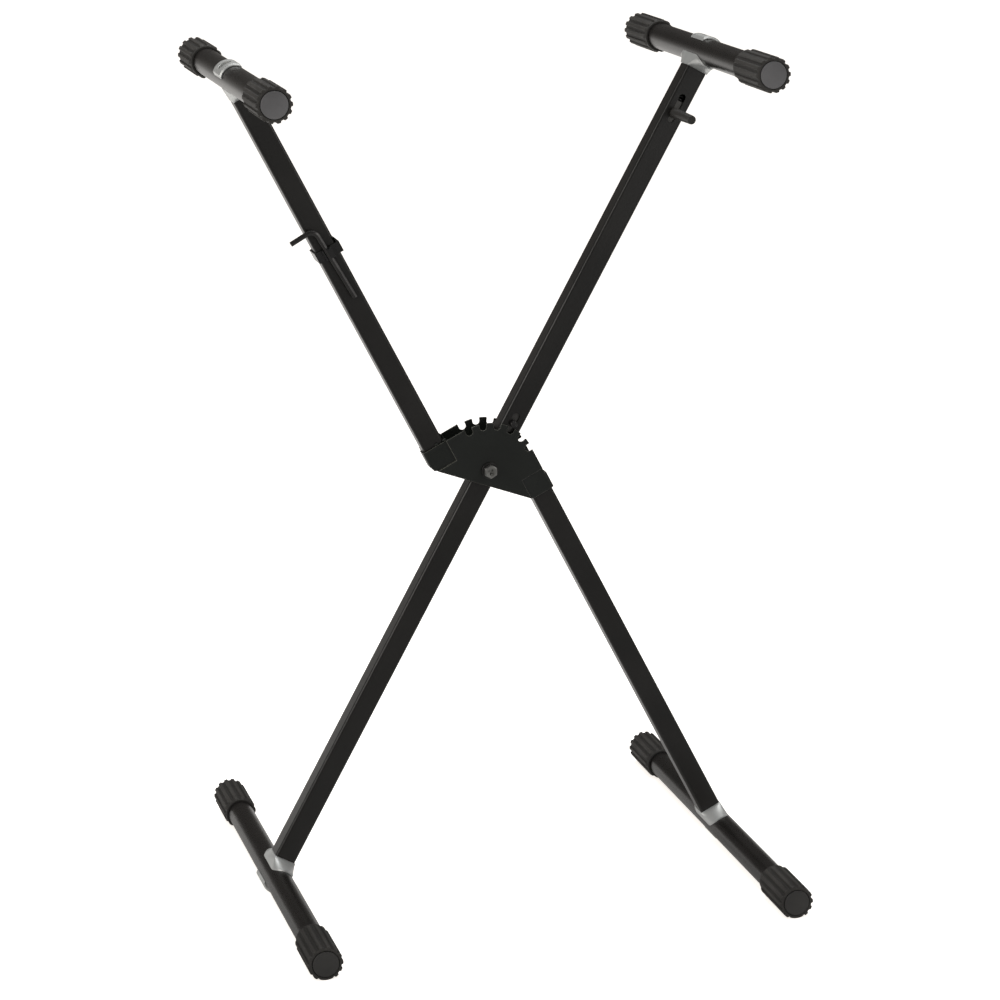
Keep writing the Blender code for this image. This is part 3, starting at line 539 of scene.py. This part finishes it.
piece(
    "peg_sleeve",
    [leaned(facing_front(turned(grip_profile)) + [0, 0, peg_height], through_lean)],
    grip_plastic,
    "lock",
    ["peg_grip"],
)

# The return spring is wound of black wire. It pushes the peg's block down from below the saddle's nut,
# inside the leg, and shows in the slot above the peg.
SPRING_RADIUS = 0.0076
SPRING_WIRE = 0.0008
SPRING_TURNS = 5
STEPS_A_TURN = 28
SPRING_TOP = 0.4615


def coil(low, high):
    """A small circle carried along a helix, whose climb eases to nothing in the turn at each end."""
    share = np.linspace(0, 1, SPRING_TURNS * STEPS_A_TURN + 1)
    turn = 2 * math.pi * SPRING_TURNS * share
    ease = np.clip((share * SPRING_TURNS - 0.5) / (SPRING_TURNS - 1), 0, 1)
    level = low + SPRING_WIRE + (high - low - 2 * SPRING_WIRE) * ease
    outward = np.stack([np.cos(turn), np.sin(turn), np.zeros_like(turn)], -1)
    around = np.linspace(0, 2 * math.pi, 11)
    size = np.ones_like(share)
    size[[0, -1]] = 0
    middle = SPRING_RADIUS * outward
    middle[:, 2] = level
    aside = np.cos(around)[None, :, None] * outward[:, None]
    upward = np.sin(around)[None, :, None] * np.array([0, 0, 1.0])
    return middle[:, None] + SPRING_WIRE * size[:, None, None] * (aside + upward)


block_top = span("peg_block", through_lean)[1][2]
spring = piece(
    "return_spring",
    [leaned(coil(block_top, SPRING_TOP), through_lean)],
    oxide_steel,
    None,
)
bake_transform(spring)

# Four cross tubes of 28.6 mm round steel tube, coated like the legs. Each is held on its leg end by a
# cast saddle that plugs into the leg, a curved clamp plate on the far side and one long screw.
TUBE_RADIUS = 0.0143
TUBE_WALL = 0.0015


def drawn_along_y(points):
    """Turns what is drawn about Z so that it lies about Y."""
    x, y, z = np.moveaxis(points, -1, 0)
    return np.stack([x, z, -y], -1)


tube_coat = coat(
    "tube_powder_coat", (0.0070, 0.0062, 0.0056), (0.012, 0.0106, 0.0096), (0.23, 0.34), 0.0009, 0.000007
)
# For each tube: its body, its leg's lean, how far its leg is set off, and whether it is at the top.
ENDS = (
    ("top_right", "leg_a", through_lean, 0.0, 1),
    ("bottom_left", "leg_a", through_lean, 0.0, -1),
    ("top_left", "leg_b", split_lean, -split_offset, 1),
    ("bottom_right", "leg_b", split_lean, split_offset, -1),
)
for where, body, lean, offset, up in ENDS:
    half = span(f"tube_{where}", lean)[1][1]
    wall = [
        (TUBE_RADIUS - TUBE_WALL, -half),
        (TUBE_RADIUS, -half),
        (TUBE_RADIUS, half),
        (TUBE_RADIUS - TUBE_WALL, half),
        (TUBE_RADIUS - TUBE_WALL, -half),
    ]
    at_joint = np.array([offset, 0, up * pivot_to_tube])
    piece(
        f"cross_tube_{where}",
        [leaned(drawn_along_y(turned(wall, 96)) + at_joint, lean)],
        tube_coat,
        body,
        [f"tube_{where}"],
    )

# The saddles and clamp plates are die cast in light grey metal and left as cast. A saddle cradles the
# tube with a rounded tongue along it at the front and rear, and its clamp plate bears a sunk screw.
SADDLE_HALF = 0.0205
SADDLE_HALF_WIDE = 0.0123
SADDLE_TONGUE = 0.0165
SADDLE_EDGE = 0.0020
SADDLE_HOLLOW = 0.0006
SADDLE_TOP = -0.0212
SEAT_RADIUS = 0.0146
CLAMP_THICK = 0.0027
CLAMP_CHAMFER = 0.0016
SCREW_SINK = 0.0018
SINK_RADIUS = 0.0078
SINK_TAPER = 0.0010
SINK_EDGE = 0.0003
SADDLE_ROUNDING = 0.0006
CLAMP_ROUNDING = 0.0004


def saddle_grid():
    """A section in Y and Z carried across X, its reach along the tube following half an ellipse.

    At each x the section runs from the seat out to the tongue's rounded edge, up the hollow slope to
    the leg's face and down the other side, and returns along the seat, a circle about the tube.
    """
    turn = np.linspace(0, math.pi, 41)
    x = -SADDLE_HALF_WIDE * np.cos(turn)
    reach = SADDLE_HALF + SADDLE_TONGUE * np.sin(turn)
    seat = -np.sqrt(SEAT_RADIUS**2 - x**2)
    outer = -np.sqrt((TUBE_RADIUS + SADDLE_EDGE) ** 2 - x**2)
    share = np.linspace(0, 1, 9)
    hollow = SADDLE_HOLLOW * np.sin(math.pi * share)
    y = reach[:, None] + (SADDLE_HALF_WIDE - reach[:, None]) * share
    z = outer[:, None] + (SADDLE_TOP - outer[:, None]) * share + hollow
    y = np.concatenate([reach[:, None], y], 1)
    z = np.concatenate([seat[:, None], z], 1)
    y = np.concatenate([-y, y[:, ::-1], -y[:, :1]], 1)
    z = np.concatenate([z, z[:, ::-1], z[:, :1]], 1)
    return np.stack([np.repeat(x[:, None], y.shape[1], 1), y, z], -1)


def clamp_grid():
    """A curved plate as a closed loop carried round its screw hole, from a circle out to the rectangle.

    Each point has a place across and along the plate, a share of the way from the hole to the edge, and
    its level is that of a circle about the tube with the loop's radius there. The ends are chamfered.
    """
    side = np.linspace(-1, 1, 25)[:-1]
    one = np.ones_like(side)
    across = SADDLE_HALF_WIDE * np.concatenate([one, -side, -one, side, one[:1]])
    along = np.concatenate([side, one, -side, -one, side[:1]])
    turn = np.arctan2(along * SADDLE_HALF, across)
    inner, outer = SEAT_RADIUS, SEAT_RADIUS + CLAMP_THICK
    rows = [
        (inner, SINK_RADIUS - SINK_TAPER, 0.0, SADDLE_HALF),
        (outer - SCREW_SINK, SINK_RADIUS, 0.0, SADDLE_HALF),
        (outer - SINK_EDGE, SINK_RADIUS, 0.0, SADDLE_HALF),
        (outer, SINK_RADIUS + SINK_EDGE, 0.0, SADDLE_HALF),
    ]
    face_end = SADDLE_HALF - CLAMP_CHAMFER
    rows += [(outer, SINK_RADIUS, share, face_end) for share in np.linspace(0.1, 1, 10)]
    rows.append((outer - CLAMP_CHAMFER, SINK_RADIUS, 1.0, SADDLE_HALF))
    rows.append((inner, SINK_RADIUS, 1.0, SADDLE_HALF))
    rows += [(inner, SINK_RADIUS, share, SADDLE_HALF) for share in np.linspace(0.9, 0.1, 9)]
    rows.append(rows[0])
    loop = []
    for level, hole, share, reach in rows:
        x = (1 - share) * hole * np.cos(turn) + share * across
        y = (1 - share) * hole * np.sin(turn) + share * along * reach
        loop.append(np.stack([x, y, np.sqrt(level**2 - x**2)], -1))
    return np.array(loop)


cast = coat(
    "cast_grain", (0.44, 0.45, 0.44), (0.62, 0.63, 0.62), (0.34, 0.52), 0.0010, 0.00006, metallic=0.6
)
for where, body, lean, offset, up in ENDS:
    at_joint = np.array([offset, 0, up * pivot_to_tube])

    def seated(points, lean=lean, at_joint=at_joint, up=up):
        """Points drawn for an upper tube, turned over for a lower one and moved to the joint."""
        return leaned(points * [up, 1, up] + at_joint, lean)

    castings = (
        ("saddle", saddle_grid(), SADDLE_ROUNDING),
        ("clamp", clamp_grid(), CLAMP_ROUNDING),
    )
    for form, grid, edge in castings:
        piece(
            f"cast_{form}_{where}",
            [seated(grid)],
            cast,
            body,
            [f"{form}_{where}"],
            bevel=edge,
            flat_ends=True,
        )
    repainted([f"screw_{where}", f"nut_{where}"], zinc)

# Each tube end has a fluted sleeve of black rubber, with fourteen ribs that fade out towards the leg.
# The foot sleeves are plain underneath, where they stand on the floor.
CAP_SKIN = 0.0169
CAP_RIB = 0.0186
CAP_SOLE = 0.0176
CAP_RIBS = 14
RIM_REACH = 0.0006
CAP_BORE = 0.0146
RIB_FOOT = 0.34
RIB_TOP = 0.21
RIB_FADE = 0.0045
FADE_START = 0.0060
RIM_EDGE = 0.0011
BACK_EDGE = 0.0008
# How dark the painted shade between the ribs is, as a share of the rubber's own colour
GROOVE_SHADE = 0.62


def sleeve_grid(length, plain_below):
    """A profile along the sleeve carried round it, whose radius swells at each rib by a smooth step.

    The ribs reach full height at the open end and fade out near the other. Below, a foot sleeve has a
    plain sole in place of two ribs, cut flat between them where it meets the floor.
    """
    turn = np.linspace(0, 2 * math.pi, CAP_RIBS * 16 + 1)
    share = np.abs((turn * CAP_RIBS / (2 * math.pi) + 0.5) % 1 - 0.5)
    climb = np.clip((RIB_FOOT - share) / (RIB_FOOT - RIB_TOP), 0, 1)
    rib = climb * climb * (3 - 2 * climb)
    skin = np.full_like(turn, CAP_SKIN)
    if plain_below:
        pitch = 2 * math.pi / CAP_RIBS
        from_floor = np.abs(turn - 1.5 * math.pi)
        valley_half = (0.5 - RIB_FOOT) * pitch
        rib = np.where(from_floor < pitch, 0, rib)
        ease = np.clip((pitch + valley_half - from_floor) / (2 * valley_half), 0, 1)
        skin = CAP_SKIN + (CAP_SOLE - CAP_SKIN) * ease * ease * (3 - 2 * ease)
        flat = CAP_SOLE * math.cos(valley_half) / np.cos(np.minimum(from_floor, valley_half))
        skin = np.where(from_floor < valley_half, flat, skin)
    quarter = np.linspace(0, math.pi / 2, 6)
    rows = [(RIM_EDGE * (1 - math.cos(t)), RIM_EDGE * (1 - math.sin(t)), 1.0) for t in quarter]
    for s in np.linspace(0, 1, 8):
        rows.append((length - FADE_START + RIB_FADE * s, 0.0, 1 - s * s * (3 - 2 * s)))
    for t in quarter:
        rows.append((length - BACK_EDGE + BACK_EDGE * math.sin(t), BACK_EDGE * (1 - math.cos(t)), 0.0))
    radius = np.array([skin + rib * (CAP_RIB - CAP_SKIN) * swell - inset for y, inset, swell in rows])
    y = np.array([row[0] for row in rows])
    bore = np.full((2, len(turn)), CAP_BORE)
    radius = np.concatenate([bore[:1], radius, bore])
    y = np.concatenate([[0.0], y, [length, 0.0]])
    return np.stack(
        [radius * np.cos(turn), np.repeat(y[:, None], len(turn), 1), radius * np.sin(turn)], -1
    )


def shade_painted_by_relief(material, groove_shade):
    """Paints shade on a finish, darker towards the skin between the ribs, by the height kept on the mesh."""
    link, shader, made = nodes_of(material, "Attribute", "MapRange", "Mix")
    relief, share, tone = made
    relief.attribute_name = "relief"
    share.inputs["From Max"].default_value = CAP_RIB - CAP_SKIN
    tone.data_type = "RGBA"
    tone.blend_type = "MULTIPLY"
    tone.inputs["Factor"].default_value = 1.0
    dark = material.node_tree.nodes.new("ShaderNodeValToRGB")
    dark.color_ramp.elements[0].color = (groove_shade, groove_shade, groove_shade, 1)
    link(relief.outputs["Fac"], share.inputs["Value"])
    link(share.outputs["Result"], dark.inputs["Fac"])
    link(shader.inputs["Base Color"].links[0].from_socket, tone.inputs["A"])
    link(dark.outputs["Color"], tone.inputs["B"])
    link(tone.outputs["Result"], shader.inputs["Base Color"])


def keep_relief(made, middle, face):
    """Keeps on the mesh how far each point stands above the sleeve's skin, measured from the tube's axis.

    The open end's rim gets as little painted shade as the ribs, so its points count as standing full height.
    """
    points = np.empty(len(made.data.vertices) * 3)
    made.data.vertices.foreach_get("co", points)
    points = points.reshape(-1, 3)
    height = np.hypot(points[:, 0] - middle[0], points[:, 2] - middle[2]) - CAP_SKIN
    height = np.where(np.abs(points[:, 1] - face) < RIM_REACH, CAP_RIB - CAP_SKIN, height)
    made.data.attributes.new("relief", "FLOAT", "POINT").data.foreach_set("value", height)


rubber = coat(
    "sleeve_rubber", (0.024, 0.022, 0.0195), (0.042, 0.039, 0.035), (0.55, 0.75), 0.0006, 0.00003, gloss=0.4
)
# The grooves between the ribs are darkened: painted shade, deepest on the skin.
shade_painted_by_relief(rubber, GROOVE_SHADE)
for where, body, lean, offset, up in ENDS:
    middle = centre(f"tube_{where}")
    for side, hand in (("front", -1), ("rear", 1)):
        low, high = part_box(f"cap_{where}_{side}")
        face = low.y if hand < 0 else high.y
        sleeve = sleeve_grid(high.y - low.y, up < 0)
        made = piece(
            f"sleeve_{where}_{side}",
            [sleeve * [1, -hand, 1] + [middle[0], face, middle[2]]],
            rubber,
            body,
            [f"cap_{where}_{side}"],
        )
        keep_relief(made, middle, face)

# Each sleeve's open end is closed by a round moulded disc on a stem, pressed in. The discs are grey on
# the two top tubes and black on the two at the foot.
DISC_RADIUS = 0.0138
DISC_STEM_RADIUS = 0.0125
DISC_DEEP = 0.003
DISC_EDGE = 0.0007
DISC_DISH = 0.0003
DISH_SHARE = 0.9


def disc_profile(face, back):
    """A turned plug: a stem, a disc with a rounded rim, and a face dished by the square of the radius."""
    rim = rounded_end(DISC_RADIUS, face, DISC_EDGE)
    share = np.linspace(DISH_SHARE, 0, 8)
    dish = [((DISC_RADIUS - DISC_EDGE) * s, face - DISC_DISH * (1 - s * s)) for s in share]
    stem = [(0, back), (DISC_STEM_RADIUS, back)]
    stem += [(DISC_STEM_RADIUS, face - DISC_DEEP), (DISC_RADIUS, face - DISC_DEEP)]
    return stem + rim + dish


disc_grey = coat(
    "disc_grey", (0.074, 0.072, 0.073), (0.140, 0.137, 0.139), (0.40, 0.55), 0.0009, 0.00004
)
disc_black = coat(
    "disc_black", (0.024, 0.023, 0.021), (0.037, 0.035, 0.032), (0.42, 0.58), 0.0005, 0.00001
)
for where, body, lean, offset, up in ENDS:
    middle = centre(f"tube_{where}")
    for side, hand in (("front", -1), ("rear", 1)):
        low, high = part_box(f"plug_{where}_{side}")
        profile = disc_profile(abs(low.y if hand < 0 else high.y), abs(high.y if hand < 0 else low.y))
        piece(
            f"end_disc_{where}_{side}",
            [facing_front(turned(profile)) * [1, -hand, 1] + [middle[0], 0, middle[2]]],
            disc_grey if up > 0 else disc_black,
            body,
            [f"plug_{where}_{side}"],
        )

# The hexagon key for the tube screws is a 5 mm bar bent near one end, in black oxide. It is kept in
# the clip on the split leg, its long arm down the leg and its short arm out to the left.
KEY_HEX = 0.005
KEY_BEND = 0.0085
KEY_ROUND = 0.00277
KEY_CUT = 0.0005
KEY_CUT_SIZE = 0.84
key_axis = joints["key_slide"]["axis"]
key_lean = math.atan2(key_axis[0], key_axis[2])
key_low, key_high = span("hex_key", key_lean)
long_x = key_high[0] - KEY_HEX / 2
short_z = key_high[2] - KEY_HEX / math.sqrt(3)
key_y = (key_low[1] + key_high[1]) / 2


def key_grid():
    """A hexagon with rounded corners carried down the key's path, and drawn in at both cut ends.

    The path runs along the short arm, round a quarter circle and down the long arm; at each point the
    section stands square to the path.
    """
    turn = np.linspace(0, 2 * math.pi, 73)
    flat_turn = (turn + math.pi / 6) % (math.pi / 3) - math.pi / 6
    hexagon = np.minimum(KEY_HEX / 2 / np.cos(flat_turn), KEY_ROUND)
    bend = np.linspace(math.pi / 2, 0, 15)
    cut = np.array([0, 0, KEY_CUT])
    short_x = np.concatenate([key_low[0] + cut, [long_x - KEY_BEND]])
    long_z = (key_low[2] + cut)[::-1]
    x = np.concatenate([short_x, long_x - KEY_BEND + KEY_BEND * np.cos(bend), np.full(3, long_x)])
    z = np.concatenate([np.full(4, short_z), short_z - KEY_BEND + KEY_BEND * np.sin(bend), long_z])
    heading = np.concatenate([np.zeros(4), math.pi / 2 - bend, np.full(3, math.pi / 2)])
    size = np.ones(len(x))
    size[[0, -1]] = 0
    size[[1, -2]] = KEY_CUT_SIZE
    across = size[:, None] * hexagon * np.cos(turn)
    deep = size[:, None] * hexagon * np.sin(turn)
    out_x = x[:, None] + across * np.sin(heading)[:, None]
    out_z = z[:, None] + across * np.cos(heading)[:, None]
    return np.stack([out_x, key_y + deep, out_z], -1)


piece("bent_key", [leaned(key_grid(), key_lean)], oxide_steel, "key", ["hex_key"])

# The clip is one moulding of glossy black nylon: a channel snapped round the upper length of the split
# leg, with a rib and a hook that hold the key's long arm.
CLIP_EDGE = 0.0003
CLIP_ANGLE = 30
clip_plastic = coat(
    "clip_plastic", (0.008, 0.008, 0.008), (0.012, 0.012, 0.012), (0.16, 0.28), 0.0008, 0.00001
)
fitted(
    merged_copy("key_clip"),
    "moulded_clip",
    clip_plastic,
    "leg_b",
    ["key_clip"],
    CLIP_ANGLE,
    CLIP_EDGE,
)

# The studio floor is white paper that runs out of sight, and keeps the stand's shadow. The camera sees
# it lifted to white. Shiny surfaces see it dark in front of the stand and pale behind it.
FLOOR_HALF = 40.0
FLOOR_TONE = (0.78, 0.78, 0.78, 1)
FLOOR_DARK = (0.05, 0.05, 0.05, 1)
FLOOR_ROUGHNESS = 0.9
FLOOR_LIFT = 0.80
FLOOR_MIRROR = 0.55
GLOW_TINT = (1.0, 0.95, 0.89, 1)
# How pale the floor is in a reflection, by its distance in metres behind the pivot
FLOOR_REFLECTED = (
    (-6.0, 0.38),
    (-3.5, 0.18),
    (-1.0, 0.10),
    (-0.2, 0.24),
    (0.9, 0.85),
    (5.0, 1.0),
    (12.0, 0.45),
)


def worked(tree, operation, *terms):
    """The result of a Math node whose terms are each a number or another node's output."""
    node = tree.nodes.new("ShaderNodeMath")
    node.operation = operation
    for socket, term in zip(node.inputs, terms):
        if isinstance(term, bpy.types.NodeSocket):
            tree.links.new(term, socket)
        else:
            socket.default_value = term
    return node.outputs[0]


floor_mesh = bpy.data.meshes.new("studio_floor")
floor_corners = [(FLOOR_HALF * x, FLOOR_HALF * y, 0) for x, y in ((-1, -1), (1, -1), (1, 1), (-1, 1))]
floor_mesh.from_pydata(floor_corners, [], [(0, 1, 2, 3)])
studio_floor = bpy.data.objects.new("studio_floor", floor_mesh)
bpy.context.scene.collection.objects.link(studio_floor)
paper = bpy.data.materials.new("white_paper")
paper.use_nodes = True
link, shader, made = nodes_of(
    paper, "LightPath", "Emission", "AddShader", "TexCoord", "SeparateXYZ", "MapRange", "ValToRGB", "Mix"
)
ray, glow, summed, coordinates, axes, reach, by_reach, tone = made
nearest, furthest = FLOOR_REFLECTED[0][0], FLOOR_REFLECTED[-1][0]
reach.inputs["From Min"].default_value = nearest
reach.inputs["From Max"].default_value = furthest
steps = by_reach.color_ramp.elements
while len(steps) < len(FLOOR_REFLECTED):
    steps.new(1.0)
for step, (distance, share) in zip(steps, FLOOR_REFLECTED):
    step.position = (distance - nearest) / (furthest - nearest)
    step.color = (share, share, share, 1)
link(coordinates.outputs["Object"], axes.inputs["Vector"])
link(axes.outputs["Y"], reach.inputs["Value"])
link(reach.outputs["Result"], by_reach.inputs["Fac"])

glossy = ray.outputs["Is Glossy Ray"]
darkness = worked(paper.node_tree, "SUBTRACT", 1.0, by_reach.outputs["Color"])
tone.data_type = "RGBA"
tone.inputs["A"].default_value = FLOOR_TONE
tone.inputs["B"].default_value = FLOOR_DARK
link(worked(paper.node_tree, "MULTIPLY", darkness, glossy), tone.inputs["Factor"])
link(tone.outputs["Result"], shader.inputs["Base Color"])
shader.inputs["Roughness"].default_value = FLOOR_ROUGHNESS

reflected = worked(paper.node_tree, "MULTIPLY", by_reach.outputs["Color"], glossy)
reflected = worked(paper.node_tree, "MULTIPLY", reflected, FLOOR_MIRROR)
strength = worked(paper.node_tree, "MULTIPLY_ADD", ray.outputs["Is Camera Ray"], FLOOR_LIFT, reflected)
glow.inputs["Color"].default_value = GLOW_TINT
link(strength, glow.inputs["Strength"])
link(shader.outputs[0], summed.inputs[0])
link(glow.outputs[0], summed.inputs[1])
link(summed.outputs[0], paper.node_tree.nodes["Material Output"].inputs["Surface"])
floor_mesh.materials.append(paper)

# The surround is white to the camera, and gives the object a plain soft light from every side. Shiny
# surfaces see it dim and a little warm, and darkest overhead.
CEILING_LEVEL = 0.08
CEILING_START = 0.14
HORIZON_LEVEL = 0.28
FRONT_LEVEL = 0.80
FRONT_END = -0.7
BACK_START = 0.3
AMBIENT_LEVEL = 0.50
REFLECTED_TINT = (1.0, 0.94, 0.88, 1)

surround = bpy.data.worlds.new("surround")
bpy.context.scene.world = surround
surround.use_nodes = True
tree = surround.node_tree
link = tree.links.new
kinds = ("LightPath", "TexCoord", "SeparateXYZ", "MapRange", "MapRange", "Mix", "Mix", "Mix")
made = [tree.nodes.new("ShaderNode" + kind) for kind in kinds]
ray, coordinates, axes, by_rise, by_depth, unseen, seen, warmth = made
link(coordinates.outputs["Generated"], axes.inputs["Vector"])
by_rise.inputs["From Max"].default_value = CEILING_START
by_rise.inputs["To Min"].default_value = HORIZON_LEVEL
by_rise.inputs["To Max"].default_value = CEILING_LEVEL
link(axes.outputs["Z"], by_rise.inputs["Value"])
by_depth.inputs["From Min"].default_value = FRONT_END
by_depth.inputs["From Max"].default_value = BACK_START
by_depth.inputs["To Min"].default_value = FRONT_LEVEL
link(axes.outputs["Y"], by_depth.inputs["Value"])

shiny = worked(tree, "MAXIMUM", ray.outputs["Is Glossy Ray"], ray.outputs["Is Transmission Ray"])
link(shiny, unseen.inputs["Factor"])
unseen.inputs["A"].default_value = AMBIENT_LEVEL
link(worked(tree, "MULTIPLY", by_rise.outputs["Result"], by_depth.outputs["Result"]), unseen.inputs["B"])
link(ray.outputs["Is Camera Ray"], seen.inputs["Factor"])
link(unseen.outputs["Result"], seen.inputs["A"])
seen.inputs["B"].default_value = 1.0
link(seen.outputs["Result"], tree.nodes["Background"].inputs["Strength"])
warmth.data_type = "RGBA"
warmth.inputs["A"].default_value = (1, 1, 1, 1)
warmth.inputs["B"].default_value = REFLECTED_TINT
link(shiny, warmth.inputs["Factor"])
link(warmth.outputs["Result"], tree.nodes["Background"].inputs["Color"])

# Three large soft lamps stand to the left, to the right and above, and a weaker one stands low and far
# out in front. All of them are turned to a point at the stand's middle, and the camera sees none.
LAMP_AIM = Vector((0, 0, 0.45))
LAMPS = (
    ("lamp_left", (-2.6, -1.2, 1.6), 1.6, 1.6, 34, (1.0, 0.97, 0.93)),
    ("lamp_right", (2.4, -1.8, 1.9), 1.4, 1.4, 20, (1.0, 0.98, 0.96)),
    ("lamp_above", (0.2, 0.6, 2.8), 2.0, 2.0, 36, (1.0, 1.0, 1.0)),
    ("lamp_low_right", (1.9, -4.2, 0.36), 1.6, 0.7, 3.2, (1.0, 1.0, 1.0)),
)
for name, stand, width, height, watts, colour in LAMPS:
    lamp = bpy.data.lights.new(name, "AREA")
    lamp.shape = "RECTANGLE"
    lamp.size = width
    lamp.size_y = height
    lamp.energy = watts
    lamp.color = colour
    holder = bpy.data.objects.new(name, lamp)
    holder.visible_camera = False
    holder.location = stand
    holder.rotation_euler = (LAMP_AIM - Vector(stand)).to_track_quat("-Z", "Y").to_euler()
    bpy.context.scene.collection.objects.link(holder)

# The camera stands at the photograph's viewing angle, a little to the left of the stand and above it.
# Its place is turned about a point near the pivot, and its shift keeps the photograph's framing.
VIEW_AZIMUTH = 0.27429
VIEW_ELEVATION = 0.26219
VIEW_ROLL = -0.02366
VIEW_DISTANCE = 3.60406
AIM_FROM_PIVOT = (0.096496, 0, -0.076397)
FOCAL_PIXELS = 3279.36
PHOTO_WIDTH = 1000
PHOTO_CENTRE = (572.833, 526.923)

camera = bpy.data.cameras.new("camera")
camera.sensor_width = 36
camera.lens = FOCAL_PIXELS * camera.sensor_width / PHOTO_WIDTH
camera.shift_x = 0.5 - PHOTO_CENTRE[0] / PHOTO_WIDTH
camera.shift_y = PHOTO_CENTRE[1] / PHOTO_WIDTH - 0.5
viewer = bpy.data.objects.new("camera", camera)
bpy.context.scene.collection.objects.link(viewer)
towards_viewer = Vector(
    (
        -math.sin(VIEW_AZIMUTH) * math.cos(VIEW_ELEVATION),
        -math.cos(VIEW_AZIMUTH) * math.cos(VIEW_ELEVATION),
        math.sin(VIEW_ELEVATION),
    )
)
level_view = towards_viewer.to_track_quat("Z", "Y").to_matrix().to_4x4()
aim = Vector(pivot) + Vector(AIM_FROM_PIVOT)
stands_at = Matrix.Translation(aim + towards_viewer * VIEW_DISTANCE)
viewer.matrix_world = stands_at @ (level_view @ Matrix.Rotation(VIEW_ROLL, 4, "Z"))
bpy.context.scene.camera = viewer
bpy.context.scene.view_settings.view_transform = "Standard"
